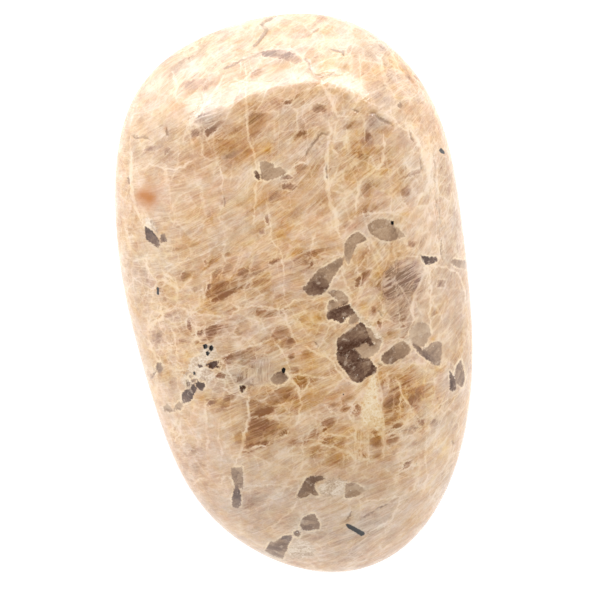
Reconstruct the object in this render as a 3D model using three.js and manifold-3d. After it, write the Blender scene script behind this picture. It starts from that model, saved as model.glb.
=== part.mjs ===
// A polished feldspar pebble, lying on its back on a level surface.
//
// The stone is one solid. Seen from above it is a long egg that leans a little, drawn by the smoothest closed
// line through a few points of its edge. Over that outline rises a broad, nearly level face that rolls over
// into a round rim, and below it hangs a rounder back, ground off in the small flat on which the stone lies.
// Millimetres, +Z up, +Y towards the crown of the face. The origin is on the ground, under the middle.

import * as THREE from "three";
import { mergeVertices } from "three/addons/utils/BufferGeometryUtils.js";
import Module from "manifold-3d";

// Driving dimensions, in millimetres

// The edge seen from above, clockwise from the crown, at even steps along its length
const outline = [
  [6.75, 41.75], [19.5, 32], [24.75, 17], [26.75, 1], [27, -15.25], [23, -30.75], [11.75, -41.75],
  [-4.25, -40.25], [-16, -29.75], [-22, -14.75], [-26, 1], [-27.25, 17], [-22.75, 32.25], [-9.25, 40.75],
];
const girdleHeight = 14; // of the widest line round the stone, above the ground
const girdleSway = 0.9; // how far that line rises and falls on its way round
const girdleTop = 0.1; // where it is highest, as a share of the way round from the crown
const faceRise = 14.5; // from the girdle to the top of the face
const backDrop = 14.5; // from the girdle to the lowest point of the back, before the flat is ground

// The section through the stone: 2 is an ellipse, and more is flatter in the middle and fuller at the rim
const faceFullness = 2.6;
const backFullness = 2.3;

// The face isn't quite level: how much higher it is at the right and at the crown, as shares of its rise
const faceLean = { right: 0.03, crown: -0.05 };

// The shallow waves that hand polishing leaves in the face
const waveHeight = 0.08;
const waveLength = 21;

const splits = 17; // of each edge of the icosahedron that carries the skin
const skinColour = 0xdcb48c;
const halfLength = 42.5;

function turned(arrow, angle) {
  return arrow.clone().rotateAround(new THREE.Vector2(), angle);
}

// The harmonics of the outline, each an arrow that turns order times on the way round. The two of the highest
// order share its strength.
function outlineHarmonics() {
  const count = outline.length;
  const harmonics = [];
  for (let order = -count / 2; order <= count / 2; order++) {
    const share = Math.abs(order) === count / 2 ? 0.5 : 1;
    const arrow = new THREE.Vector2();
    outline.forEach(([x, y], i) => {
      arrow.add(turned(new THREE.Vector2(x, y), (-2 * Math.PI * order * i) / count));
    });
    harmonics.push({ order, arrow: arrow.multiplyScalar(share / count) });
  }
  return harmonics;
}

// The point of the edge at a share of the way round, from 0 to 1
function edgePoint(harmonics, way) {
  const point = new THREE.Vector2();
  for (const { order, arrow } of harmonics) {
    point.add(turned(arrow, 2 * Math.PI * order * way));
  }
  return point;
}

// The height of the polishing waves over a place in plan
function waveAt({ x, y }) {
  const turn = (2 * Math.PI) / waveLength;
  return waveHeight * (Math.sin(turn * (x + 0.4 * y)) + Math.sin(turn * 0.8 * (y - 0.5 * x) + 1));
}

// Where the skin is in a direction from the middle, given as a point of the unit ball
function skinPoint(harmonics, direction) {
  const onFace = direction.z >= 0;
  const way = Math.atan2(direction.x, direction.y) / (2 * Math.PI);
  const out = Math.hypot(direction.x, direction.y) ** (2 / (onFace ? faceFullness : backFullness));
  const place = edgePoint(harmonics, way).multiplyScalar(out);
  const girdle = girdleHeight + girdleSway * out ** 2 * Math.cos(2 * Math.PI * (way - girdleTop));
  if (!onFace) {
    return new THREE.Vector3(place.x, place.y, girdle + backDrop * direction.z);
  }
  const lean = 1 + (faceLean.right * place.x + faceLean.crown * place.y) / halfLength;
  const wave = waveAt(place) * direction.z ** 2;
  return new THREE.Vector3(place.x, place.y, girdle + faceRise * direction.z * lean + wave);
}

// The stone before its flat is ground
function rawStone() {
  const harmonics = outlineHarmonics();
  const ball = new THREE.IcosahedronGeometry(1, splits);
  ball.deleteAttribute("normal");
  ball.deleteAttribute("uv");
  const skin = mergeVertices(ball, 1e-5);
  const places = skin.getAttribute("position");
  for (let i = 0; i < places.count; i++) {
    const direction = new THREE.Vector3().fromBufferAttribute(places, i).normalize();
    const place = skinPoint(harmonics, direction);
    places.setXYZ(i, place.x, place.y, place.z);
  }
  return skin;
}

// All that is below the ground, as a block wider than the stone
function groundBlock() {
  const block = new THREE.BoxGeometry(3 * halfLength, 3 * halfLength, backDrop);
  block.translate(0, 0, -backDrop / 2);
  block.deleteAttribute("normal");
  block.deleteAttribute("uv");
  return mergeVertices(block);
}

function solidOf(wasm, geometry) {
  const vertProperties = new Float32Array(geometry.getAttribute("position").array);
  const triVerts = new Uint32Array(geometry.index.array);
  return new wasm.Manifold(new wasm.Mesh({ numProp: 3, vertProperties, triVerts }));
}

function geometryOf(solid) {
  const { vertProperties, triVerts } = solid.getMesh();
  const geometry = new THREE.BufferGeometry();
  geometry.setAttribute("position", new THREE.BufferAttribute(vertProperties, 3));
  geometry.setIndex(new THREE.BufferAttribute(triVerts, 1));
  return geometry;
}

// Moves the stone sideways until the middle of its box is over the origin
function centreInPlan(geometry) {
  geometry.computeBoundingBox();
  const middle = geometry.boundingBox.getCenter(new THREE.Vector3());
  geometry.translate(-middle.x, -middle.y, 0);
  geometry.computeVertexNormals();
  return geometry;
}

async function makePebble() {
  const wasm = await Module();
  wasm.setup();
  const ground = solidOf(wasm, rawStone()).subtract(solidOf(wasm, groundBlock()));
  const polish = new THREE.MeshStandardMaterial({ color: skinColour, roughness: 0.18, metalness: 0 });
  const pebble = new THREE.Mesh(centreInPlan(geometryOf(ground)), polish);
  pebble.name = "pebble";
  return pebble;
}

const stone = new THREE.Group();
stone.add(await makePebble());

export default stone;
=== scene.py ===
import math

import bpy
import numpy as np
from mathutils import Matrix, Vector


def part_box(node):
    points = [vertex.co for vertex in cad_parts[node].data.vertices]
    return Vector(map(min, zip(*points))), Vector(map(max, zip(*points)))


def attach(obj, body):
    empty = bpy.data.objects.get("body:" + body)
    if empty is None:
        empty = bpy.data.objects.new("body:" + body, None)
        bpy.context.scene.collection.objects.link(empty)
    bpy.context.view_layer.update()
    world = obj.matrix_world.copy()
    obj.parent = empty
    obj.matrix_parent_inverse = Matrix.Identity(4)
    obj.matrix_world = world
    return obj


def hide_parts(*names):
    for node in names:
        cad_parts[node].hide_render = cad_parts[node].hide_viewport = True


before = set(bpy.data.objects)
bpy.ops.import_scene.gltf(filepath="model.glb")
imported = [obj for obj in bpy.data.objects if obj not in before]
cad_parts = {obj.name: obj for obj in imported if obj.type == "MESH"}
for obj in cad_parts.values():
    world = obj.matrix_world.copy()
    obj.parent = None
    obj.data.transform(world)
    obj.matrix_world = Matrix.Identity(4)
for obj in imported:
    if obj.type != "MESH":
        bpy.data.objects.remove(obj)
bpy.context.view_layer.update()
lowCorner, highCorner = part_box("pebble")
milli = 0.001
print("stage: frame loaded")

# Feature places further down are pixels of the photograph, x to the right and y down
photo = {
    "middle": (293.5, 293.0),  # the pixel over the middle of the outline
    "pixel": 0.1526,  # millimetres at the height of the girdle
    "distance": 381.4,  # millimetres from the camera to the girdle
    "lens": 150.0,  # millimetres, for a sensor as wide as the next line says
    "sensor": 36.0,
    "frame": 600,
}

pebbleShape = {
    "outline": [
        (6.75, 41.75), (19.5, 32), (24.75, 17), (26.75, 1), (27, -15.25), (23, -30.75), (11.75, -41.75),
        (-4.25, -40.25), (-16, -29.75), (-22, -14.75), (-26, 1), (-27.25, 17), (-22.75, 32.25),
        (-9.25, 40.75),
    ],  # the edge seen from above in millimetres, clockwise from the crown, at even steps
    "girdleHeight": 14.0,
    "girdleSway": 0.9,
    "girdleTop": 0.1,  # share of the way round from the crown
    "faceRise": 14.5,
    "backDrop": 14.5,
    "faceFullness": 2.6,  # 2 is an ellipse
    "backFullness": 2.3,
    "leanRight": 0.03,
    "leanCrown": -0.05,
    "halfLength": 42.5,
    "waveHeight": 0.08,
    "waveLength": 21.0,
    "rings": 156,  # of the face, even
    "meanReach": 34.0,  # of the edge from the middle, for the spacing of the rings
}


def edgePoints(way):
    # the smoothest closed line through the outline's points
    points = np.array(pebbleShape["outline"], float)
    count = len(points)
    spots = points[:, 0] + 1j * points[:, 1]
    orders = np.arange(-count // 2, count // 2 + 1)
    share = np.where(np.abs(orders) == count // 2, 0.5, 1.0) / count
    turns = np.exp(-2j * np.pi * np.outer(orders, np.arange(count)) / count)
    arrows = share * (turns * spots).sum(axis=1)
    line = (np.exp(2j * np.pi * np.outer(way, orders)) * arrows).sum(axis=1)
    return line.real, line.imag


def ringShares(steps, fullness, rise):
    # even steps along the section, from the middle out to the girdle
    turn = np.linspace(0, math.pi / 2, 4000)
    out = np.sin(turn) ** (2 / fullness)
    up = np.cos(turn)
    lengths = np.hypot(np.diff(out) * pebbleShape["meanReach"], np.diff(up) * rise)
    along = np.concatenate([[0], np.cumsum(lengths)])
    wanted = np.linspace(0, along[-1], steps + 1)
    return np.interp(wanted, along, out), np.interp(wanted, along, up)


def skinPoints(out, up, way, onFace):
    s = pebbleShape
    x, y = edgePoints(way)
    x, y = x * out, y * out
    girdle = s["girdleHeight"] + s["girdleSway"] * out ** 2 * np.cos(2 * np.pi * (way - s["girdleTop"]))
    if not onFace:
        return np.stack([x, y, np.maximum(girdle - s["backDrop"] * up, 0)], axis=1)
    lean = 1 + (s["leanRight"] * x + s["leanCrown"] * y) / s["halfLength"]
    turn = 2 * np.pi / s["waveLength"]
    wave = s["waveHeight"] * (np.sin(turn * (x + 0.4 * y)) + np.sin(turn * 0.8 * (y - 0.5 * x) + 1))
    return np.stack([x, y, girdle + s["faceRise"] * up * lean + wave * up ** 2], axis=1)


def ringStart(ring):
    return 0 if ring == 0 else 1 + 3 * ring * (ring - 1)


def discPoints(rings, steps, fullness, rise, onFace):
    # a middle point with rings of six, twelve, eighteen and so on points round it
    outs, ups = ringShares(steps, fullness, rise)
    counts = [1] + [6 * ring for ring in range(1, rings + 1)]
    out = np.repeat(outs[:rings + 1], counts)
    up = np.repeat(ups[:rings + 1], counts)
    way = np.concatenate([np.arange(count) / count for count in counts])
    return skinPoints(out, up, way, onFace)


def discFaces(rings):
    faces = []
    for ring in range(1, rings + 1):
        innerCount = max(6 * (ring - 1), 1)
        for side in range(6):
            j = np.arange(ring)
            inner = ringStart(ring - 1) + (side * (ring - 1) + j) % innerCount
            outer = ringStart(ring) + side * ring + j
            outerNext = ringStart(ring) + (side * ring + j + 1) % (6 * ring)
            innerNext = ringStart(ring - 1) + (side * (ring - 1) + j + 1) % innerCount
            faces.append(np.stack([inner, outerNext, outer], axis=1))
            faces.append(np.stack([inner, innerNext, outerNext], axis=1)[:-1])
    return np.concatenate(faces)


def makeSkin():
    s = pebbleShape
    rings = s["rings"]
    half = rings // 2
    face = discPoints(rings, rings, s["faceFullness"], s["faceRise"], True)
    back = discPoints(half, half + 1, s["backFullness"], s["backDrop"], False)
    i = np.arange(6 * half)
    inner = len(face) + ringStart(half) + i
    innerNext = len(face) + ringStart(half) + (i + 1) % (6 * half)
    girdle = [ringStart(rings) + (2 * i + k) % (6 * rings) for k in range(3)]
    band = np.concatenate([
        np.stack([inner, girdle[0], girdle[1]], axis=1),
        np.stack([inner, girdle[1], innerNext], axis=1),
        np.stack([innerNext, girdle[1], girdle[2]], axis=1),
    ])
    points = np.concatenate([face, back])
    faces = np.concatenate([discFaces(rings), len(face) + discFaces(half)[:, ::-1], band])
    return points, faces


# Quartz on the face, by name: how smoky it is, from 0 to 1 or a little over where it is small, then the point
# where it is smokiest, followed by the corners of its outline
quartzPatches = {
    "shard": (0.62, [(316, 286), (313, 297), (309, 296), (307, 295), (305, 292), (303, 290), (304, 288),
                     (308, 285), (310, 281), (313, 278), (317, 273), (320, 270), (325, 268), (330, 265),
                     (335, 262), (339, 260), (344, 259), (343, 265), (340, 268), (338, 271), (335, 276),
                     (332, 280), (330, 284), (329, 289), (326, 292), (323, 295), (318, 296)]),
    "shard shade": (0.9, [(314, 287), (313, 282), (319, 284), (321, 289), (320, 292), (313, 291),
                          (309, 288)]),
    "hook": (0.38, [(353, 243), (346, 243), (350, 238), (354, 235), (359, 233), (363, 236), (367, 241),
                    (362, 243), (357, 245), (355, 250), (352, 258), (349, 265), (345, 260), (345, 249)]),
    "lens": (0.38, [(391, 236), (398, 240), (392, 242), (386, 242), (380, 240), (374, 237), (370, 233),
                    (368, 226), (371, 223), (376, 221), (384, 220), (391, 221), (394, 226), (397, 232),
                    (399, 238)]),
    "lens edge": (0.15, [(401, 237), (399, 239), (395, 227), (398, 229), (405, 237)]),
    "wing tip": (1.2, [(428, 262), (423, 262), (421, 256), (428, 258), (437, 258), (438, 261), (434, 264),
                       (427, 266)]),
    "pale mauve": (0.36, [(331, 297), (328, 293), (334, 291), (341, 292), (347, 297), (350, 301),
                          (347, 304), (338, 302)]),
    "upper smoky": (0.92, [(348, 311), (341, 308), (345, 306), (350, 306), (351, 309), (355, 313),
                           (356, 316), (352, 316), (347, 318), (345, 320), (344, 323), (341, 324),
                           (337, 322), (332, 320), (329, 321), (327, 319), (327, 315), (329, 312),
                           (334, 310)]),
    "smoky middle": (0.3, [(335, 316), (334, 312), (338, 312), (341, 315), (340, 319), (336, 320),
                           (332, 318)]),
    "upper shoulder": (0.5, [(333, 306), (330, 302), (333, 301), (337, 303), (340, 307), (334, 310),
                             (329, 311), (327, 309), (329, 305)]),
    "brown wedge": (0.5, [(346, 303), (338, 302), (343, 302), (350, 300), (348, 305), (343, 306),
                          (340, 306)]),
    "glassy grain": (0.4, [(354, 321), (350, 318), (356, 314), (357, 317), (360, 320), (357, 323),
                           (352, 326), (349, 324)]),
    "big heart": (0.92, [(350, 358), (361, 323), (364, 325), (366, 328), (368, 332), (369, 336),
                         (371, 340), (373, 344), (374, 346), (370, 347), (368, 344), (364, 344),
                         (361, 346), (358, 348), (354, 350), (357, 352), (360, 355), (361, 359),
                         (366, 360), (370, 360), (373, 365), (377, 369), (376, 374), (370, 377),
                         (365, 379), (362, 383), (358, 384), (355, 383), (351, 380), (347, 374),
                         (343, 369), (339, 365), (337, 360), (337, 354), (338, 350), (337, 344),
                         (338, 340), (344, 335), (350, 331), (355, 328)]),
    "heart foot": (0.5, [(366, 366), (359, 362), (362, 360), (369, 360), (373, 365), (377, 369),
                         (376, 374), (372, 376), (366, 376), (361, 375), (358, 370)]),
    "heart bay": (0.16, [(366, 352), (354, 350), (358, 348), (364, 344), (368, 345), (371, 347),
                         (374, 346), (381, 344), (382, 341), (380, 348), (378, 353), (372, 357),
                         (366, 360), (361, 359), (360, 355), (357, 352)]),
    "heart cheek": (0.3, [(372, 339), (366, 328), (371, 330), (373, 335), (376, 340), (381, 339),
                          (382, 343), (376, 344), (373, 344), (370, 338), (367, 333)]),
    "bar": (0.52, [(390, 362), (385, 365), (382, 362), (382, 357), (385, 354), (391, 349), (398, 344),
                   (404, 342), (408, 346), (411, 351), (408, 356), (403, 359), (397, 361), (392, 365)]),
    "grey wing": (0.26, [(421, 330), (430, 328), (431, 335), (427, 342), (424, 347), (418, 348),
                         (413, 345), (410, 338), (410, 332), (415, 326), (421, 323), (426, 325)]),
    "wing edge": (0.64, [(423, 353), (434, 366), (429, 362), (420, 355), (412, 345), (414, 341),
                         (420, 348)]),
    "lower wing": (0.6, [(436, 364), (440, 367), (441, 360), (442, 351), (442, 344), (438, 342),
                         (432, 344), (428, 348), (422, 351), (428, 359), (433, 365)]),
    "rim lens": (0.56, [(460, 386), (456, 384), (455, 376), (457, 366), (461, 361), (463, 368),
                        (465, 380), (462, 388)]),
    "rim sliver": (1.0, [(453, 386), (456, 391), (453, 392), (450, 391), (450, 380), (450, 372),
                         (453, 376), (456, 382)]),
    "left flake": (1.0, [(148, 233), (146, 239), (145, 232), (145, 227), (148, 229), (152, 232),
                         (156, 236), (159, 241), (160, 246), (158, 249), (154, 245), (148, 242)]),
    "left chip": (0.6, [(164, 240), (167, 242), (161, 243), (160, 240), (162, 234), (165, 235)]),
    "upper grey": (0.38, [(261, 171), (260, 164), (265, 162), (270, 164), (274, 166), (274, 170),
                          (279, 168), (284, 171), (288, 173), (281, 177), (273, 180), (267, 182),
                          (262, 180)]),
    "brown grain": (1.0, [(212, 366), (206, 366), (209, 364), (212, 363), (215, 362), (219, 362),
                          (218, 365), (216, 366), (220, 368), (220, 370), (215, 368), (212, 370),
                          (209, 368)]),
    "dark grain": (1.1, [(192, 392), (182, 394), (186, 391), (190, 390), (192, 385), (194, 385),
                         (197, 391), (194, 395), (192, 400), (188, 403), (184, 404), (182, 400)]),
    "small dark grain": (1.3, [(200, 386), (196, 386), (198, 382), (201, 384), (205, 384), (205, 387),
                               (203, 391), (200, 391), (197, 388)]),
    "grain chip": (0.7, [(188, 384), (187, 389), (188, 380), (190, 386), (190, 389)]),
    "chip above": (0.5, [(193, 381), (191, 382), (192, 380), (197, 380), (195, 383)]),
    "cluster speck": (0.9, [(200, 367), (198, 368), (199, 365), (203, 367), (201, 369)]),
    "cluster dot": (0.5, [(190, 377), (189, 378), (190, 376), (192, 377), (191, 379)]),
    "grey grains": (0.42, [(168, 411), (164, 412), (164, 407), (168, 405), (171, 409), (175, 412),
                           (170, 413)]),
    "grey pips": (0.45, [(178, 407), (174, 410), (176, 406), (179, 403), (182, 404), (183, 408),
                         (180, 411)]),
    "rim grain": (0.62, [(160, 367), (157, 364), (160, 363), (162, 366), (163, 370), (160, 374),
                         (157, 372), (156, 368)]),
    "brown crystal": (0.7, [(256, 175), (254, 172), (257, 172), (260, 177), (259, 181), (256, 179)]),
    "grey band end": (0.58, [(282, 376), (289, 379), (284, 384), (277, 386), (272, 383), (271, 380),
                             (275, 375), (281, 372), (286, 375)]),
    "band chip": (1.3, [(243, 389), (246, 387), (245, 391), (242, 394), (240, 391), (240, 387)]),
    "prism": (0.5, [(240, 480), (231, 469), (242, 468), (243, 478), (243, 490), (240, 488), (236, 487),
                    (232, 478)]),
    "prism foot": (0.78, [(237, 498), (236, 485), (239, 488), (241, 497), (241, 506), (238, 509),
                          (233, 508), (232, 500), (234, 492)]),
    "lower mauve": (0.75, [(303, 490), (297, 498), (299, 493), (303, 485), (306, 480), (311, 477),
                           (323, 477), (325, 480), (319, 482), (315, 484), (315, 490), (319, 496),
                           (316, 497), (311, 494), (307, 498), (300, 499)]),
    "lower grey": (0.34, [(348, 488), (346, 485), (352, 484), (358, 486), (366, 491), (358, 496),
                          (350, 499), (345, 498), (346, 491)]),
    "foot grain": (0.68, [(302, 522), (303, 519), (309, 516), (314, 514), (316, 518), (320, 525),
                          (319, 530), (311, 531), (303, 531), (300, 526)]),
    "foot pip": (0.5, [(297, 534), (294, 533), (298, 531), (301, 534), (299, 538), (295, 537)]),
    "bottom grey": (0.66, [(279, 543), (284, 537), (291, 536), (292, 539), (288, 545), (287, 551),
                           (284, 556), (283, 560), (272, 556), (265, 552), (270, 543), (275, 543)]),
    "rim smoke": (0.36, [(460, 262), (468, 262), (469, 270), (458, 268), (450, 263), (454, 260)]),
}

# Clear windows in the feldspar: how deep and how mauve, then the deepest point and the corners of the outline
clearWindows = [
    (0.4, 0.5, [(380, 133), (366, 117), (378, 119), (392, 126), (404, 131), (412, 140), (413, 148),
                (400, 147), (385, 144), (367, 146)]),
    (0.4, 0.1, [(386, 395), (381, 387), (390, 379), (399, 383), (401, 398), (400, 414), (392, 424),
                (383, 420), (380, 404)]),
    (0.35, 0.1, [(208, 154), (205, 158), (203, 141), (217, 141), (217, 159)]),
    (0.5, 0.0, [(221, 145), (218, 158), (218, 141), (228, 140), (240, 138), (236, 149), (226, 154)]),
    (0.5, 0.1, [(250, 128), (249, 113), (260, 112), (275, 116), (268, 125), (258, 137), (250, 141)]),
    (0.7, 0.3, [(207, 135), (204, 133), (212, 128), (221, 121), (226, 122), (216, 131), (208, 138)]),
    (0.6, 0.6, [(196, 136), (192, 138), (191, 132), (202, 128), (203, 137)]),
    (0.25, 0.2, [(235, 135), (224, 137), (234, 130), (245, 126), (246, 132)]),
    (1.0, 0.1, [(303, 134), (294, 141), (293, 137), (299, 133), (306, 131), (308, 134)]),
    (0.45, 0.6, [(149, 149), (144, 151), (147, 147), (156, 147), (164, 145), (160, 150), (150, 152)]),
    (0.85, 0.3, [(168, 153), (165, 156), (164, 150), (167, 147), (171, 150)]),
    (0.6, 0.9, [(229, 157), (220, 160), (226, 155), (238, 152), (250, 147), (242, 153), (233, 159)]),
    (1.1, 0.6, [(286, 177), (281, 181), (282, 177), (288, 175), (294, 179)]),
    (0.95, 0.6, [(288, 188), (283, 190), (282, 186), (290, 184), (298, 187), (292, 191)]),
    (0.5, 0.4, [(272, 203), (269, 204), (269, 192), (275, 191), (283, 196), (285, 200), (277, 202)]),
    (0.7, 0.1, [(297, 172), (296, 174), (296, 167), (303, 165), (312, 168), (303, 173)]),
    (0.8, 0.4, [(367, 138), (366, 131), (380, 132), (381, 137), (372, 140), (366, 142)]),
    (0.8, 0.2, [(370, 143), (368, 144), (372, 141), (376, 142)]),
    (0.45, 0.9, [(376, 119), (366, 130), (365, 118), (372, 115), (380, 118), (391, 127), (380, 130)]),
    (0.5, 0.0, [(350, 127), (343, 131), (344, 127), (350, 123), (364, 121), (362, 127), (352, 131)]),
    (0.3, 0.0, [(362, 154), (351, 159), (352, 155), (362, 151), (372, 149), (382, 147), (381, 153),
                (368, 159)]),
    (0.5, 0.1, [(364, 193), (361, 197), (361, 187), (370, 182), (376, 188), (374, 195), (366, 199)]),
    (0.7, 0.3, [(402, 196), (401, 193), (405, 189), (409, 186), (412, 190), (410, 196), (403, 199)]),
    (0.6, 0.4, [(411, 175), (400, 181), (398, 180), (405, 177), (412, 172), (421, 170), (420, 174)]),
    (0.2, 0.0, [(385, 166), (383, 170), (386, 160), (392, 158), (395, 165), (390, 169)]),
    (0.3, 0.2, [(373, 207), (372, 213), (373, 205), (384, 202), (390, 204), (382, 211)]),
    (0.95, 0.2, [(365, 213), (364, 213), (367, 210), (369, 217), (365, 217)]),
    (0.45, 0.5, [(343, 224), (342, 225), (347, 221), (350, 227), (345, 229)]),
    (0.15, 0.2, [(293, 212), (290, 209), (300, 206), (308, 211), (300, 218), (295, 218)]),
    (0.5, 0.1, [(318, 203), (328, 196), (326, 203), (319, 207)]),
    (0.5, 0.1, [(320, 214), (316, 219), (318, 211), (329, 208), (330, 214)]),
    (0.95, 0.6, [(265, 223), (265, 218), (268, 215), (271, 221), (268, 228)]),
    (1.2, 0.8, [(261, 232), (260, 232), (264, 230), (265, 234), (260, 236)]),
    (0.4, 0.2, [(316, 252), (305, 258), (307, 253), (315, 250), (325, 247), (324, 252), (316, 257)]),
    (1.0, 0.1, [(303, 268), (311, 264), (320, 261), (312, 267)]),
    (0.6, 0.6, [(213, 276), (212, 283), (212, 275), (216, 270), (221, 267), (223, 272), (219, 279)]),
    (0.4, 0.4, [(224, 272), (222, 268), (228, 261), (237, 256), (237, 264), (231, 273), (223, 279)]),
    (0.65, 0.1, [(213, 291), (211, 298), (206, 299), (206, 293), (211, 291), (212, 284), (222, 281),
                 (236, 278), (250, 280), (242, 289), (230, 296), (221, 302), (212, 303)]),
    (1.4, 0.8, [(206, 290), (208, 285), (211, 284), (211, 289), (207, 292)]),
    (0.5, 0.3, [(240, 275), (236, 281), (238, 274), (242, 269), (252, 270), (264, 272), (256, 277),
                (243, 281)]),
    (0.4, 0.0, [(261, 282), (252, 288), (254, 283), (262, 279), (273, 279), (266, 285), (255, 290)]),
    (0.7, 0.4, [(272, 262), (270, 266), (270, 262), (278, 258), (281, 262)]),
    (0.35, 0.1, [(250, 297), (246, 301), (247, 294), (255, 291), (262, 294), (254, 302)]),
    (0.85, 0.0, [(183, 276), (180, 281), (182, 275), (186, 271), (195, 271), (193, 276), (184, 283)]),
    (0.5, 0.0, [(227, 256), (224, 258), (228, 251), (231, 257)]),
    (0.4, 0.1, [(173, 251), (171, 253), (174, 249), (182, 249), (181, 253)]),
    (0.9, 0.1, [(204, 264), (204, 261), (208, 264), (206, 266)]),
    (1.0, 0.4, [(357, 279), (356, 288), (356, 281), (364, 273), (372, 270), (369, 279), (361, 287)]),
    (0.65, 0.0, [(379, 288), (376, 290), (379, 282), (382, 280), (382, 292)]),
    (0.3, 0.3, [(356, 258), (360, 253), (367, 250), (364, 258), (357, 264)]),
    (0.65, 0.1, [(373, 313), (371, 308), (376, 307), (377, 315), (373, 317)]),
    (0.95, 0.1, [(377, 327), (376, 321), (382, 320), (381, 330)]),
    (0.5, 0.1, [(388, 336), (386, 333), (391, 330), (398, 331), (396, 336), (390, 339)]),
    (0.6, 0.3, [(399, 321), (396, 322), (403, 316), (408, 314), (405, 323)]),
    (0.75, 0.1, [(403, 328), (400, 329), (402, 326), (408, 327)]),
    (0.9, 0.4, [(412, 246), (407, 248), (409, 242), (417, 243), (414, 248)]),
    (0.8, 0.5, [(440, 285), (437, 288), (439, 281), (446, 281), (444, 288)]),
    (0.65, 0.2, [(433, 314), (431, 318), (432, 308), (436, 308), (438, 314)]),
    (0.5, 0.4, [(157, 335), (152, 339), (152, 332), (158, 328), (163, 332), (161, 342), (157, 350)]),
    (0.85, 0.2, [(189, 325), (187, 322), (190, 322), (192, 331), (191, 335), (188, 330)]),
    (1.1, 0.0, [(199, 334), (196, 333), (202, 331), (204, 335), (199, 338)]),
    (0.8, 0.0, [(197, 343), (194, 342), (199, 340), (200, 345), (195, 346)]),
    (0.55, 0.1, [(180, 342), (178, 341), (184, 338), (187, 343), (180, 345)]),
    (0.42, 0.1, [(209, 335), (206, 335), (206, 330), (215, 325), (223, 325), (217, 333), (213, 342),
                 (211, 349), (209, 342)]),
    (0.3, 0.0, [(213, 309), (209, 313), (208, 310), (214, 306), (221, 308), (216, 313)]),
    (0.6, 0.1, [(166, 317), (164, 320), (164, 314), (172, 312), (182, 309), (180, 314)]),
    (0.55, 0.3, [(224, 359), (221, 359), (228, 354), (240, 350), (255, 347), (263, 350), (250, 355),
                 (236, 362), (225, 366)]),
    (1.35, 0.1, [(219, 377), (215, 378), (219, 374), (226, 375), (224, 379)]),
    (0.6, 0.0, [(263, 315), (255, 317), (257, 312), (265, 311), (274, 312), (272, 317), (262, 319)]),
    (0.75, 0.3, [(280, 334), (272, 337), (275, 330), (281, 326), (288, 327), (291, 333), (285, 339),
                 (276, 341)]),
    (0.75, 0.1, [(290, 345), (282, 350), (279, 344), (285, 339), (291, 335), (296, 344), (291, 349)]),
    (0.45, 0.1, [(309, 356), (299, 358), (303, 351), (308, 349), (316, 355), (312, 361), (303, 362)]),
    (1.05, 0.3, [(291, 358), (288, 360), (289, 356), (295, 354), (295, 359)]),
    (0.9, 0.3, [(294, 371), (288, 371), (290, 367), (300, 368), (299, 372)]),
    (1.05, 0.0, [(301, 384), (293, 380), (291, 377), (298, 376), (305, 378), (308, 382), (305, 389),
                 (301, 391)]),
    (0.8, 0.1, [(280, 394), (266, 402), (268, 398), (275, 392), (283, 388), (292, 388), (297, 393),
                (299, 399), (289, 402), (276, 406), (268, 406)]),
    (0.65, 0.0, [(262, 416), (250, 418), (249, 410), (249, 402), (258, 402), (266, 406), (273, 408),
                 (275, 412), (268, 416)]),
    (0.6, 0.2, [(249, 432), (244, 444), (245, 436), (247, 427), (250, 420), (262, 419), (276, 421),
                (288, 425), (287, 432), (276, 439), (264, 443), (252, 445)]),
    (1.25, 0.4, [(263, 442), (256, 446), (247, 450), (243, 450), (246, 446), (258, 442), (272, 440),
                 (266, 446)]),
    (0.5, 0.0, [(237, 436), (234, 440), (234, 434), (240, 431), (244, 436), (243, 444), (237, 445)]),
    (1.1, 0.1, [(285, 433), (278, 439), (279, 435), (284, 431), (288, 431), (287, 435)]),
    (0.75, 0.4, [(327, 424), (320, 426), (324, 421), (331, 418), (338, 417), (336, 424), (330, 429)]),
    (1.4, 0.1, [(325, 431), (323, 434), (323, 430), (328, 428)]),
    (0.5, 0.1, [(316, 432), (309, 438), (311, 433), (315, 430), (320, 429), (319, 437), (314, 440)]),
    (0.65, 0.1, [(326, 443), (321, 445), (325, 440), (331, 438), (339, 438), (334, 443), (327, 446)]),
    (0.6, 0.2, [(341, 443), (334, 446), (339, 441), (344, 438), (350, 441), (345, 445)]),
    (0.35, 0.0, [(317, 449), (309, 456), (312, 450), (319, 447), (327, 448), (320, 453)]),
    (0.5, 0.0, [(329, 462), (321, 466), (326, 459), (334, 455), (343, 453), (343, 460), (337, 465),
                (327, 468)]),
    (0.6, 0.1, [(290, 444), (285, 447), (288, 442), (295, 440), (302, 442), (300, 447)]),
    (0.55, 0.0, [(342, 401), (341, 399), (348, 396), (354, 398), (358, 402), (350, 403), (344, 406)]),
    (0.75, 0.1, [(345, 409), (340, 412), (343, 406), (350, 406), (352, 410), (345, 414)]),
    (1.1, 0.0, [(358, 409), (356, 406), (361, 406), (361, 414), (355, 418), (351, 417), (354, 412)]),
    (0.8, 0.3, [(333, 407), (328, 409), (330, 405), (338, 403), (340, 407)]),
    (1.0, 0.0, [(375, 443), (370, 446), (370, 441), (376, 437), (383, 437), (382, 446), (377, 449)]),
    (0.7, 0.2, [(373, 434), (370, 434), (374, 431), (381, 432), (376, 436)]),
    (0.6, 0.1, [(377, 456), (373, 460), (373, 453), (382, 451), (381, 460)]),
    (0.65, 0.0, [(362, 456), (358, 457), (360, 453), (368, 454), (367, 459)]),
    (0.65, 0.1, [(382, 386), (379, 389), (380, 385), (384, 380), (387, 381), (385, 387), (382, 391)]),
    (0.5, 0.2, [(390, 412), (383, 415), (383, 413), (388, 409), (393, 404), (398, 405), (397, 410),
                (390, 414)]),
    (0.5, 0.2, [(390, 422), (384, 426), (384, 418), (390, 416), (399, 414), (397, 420), (389, 426)]),
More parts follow.
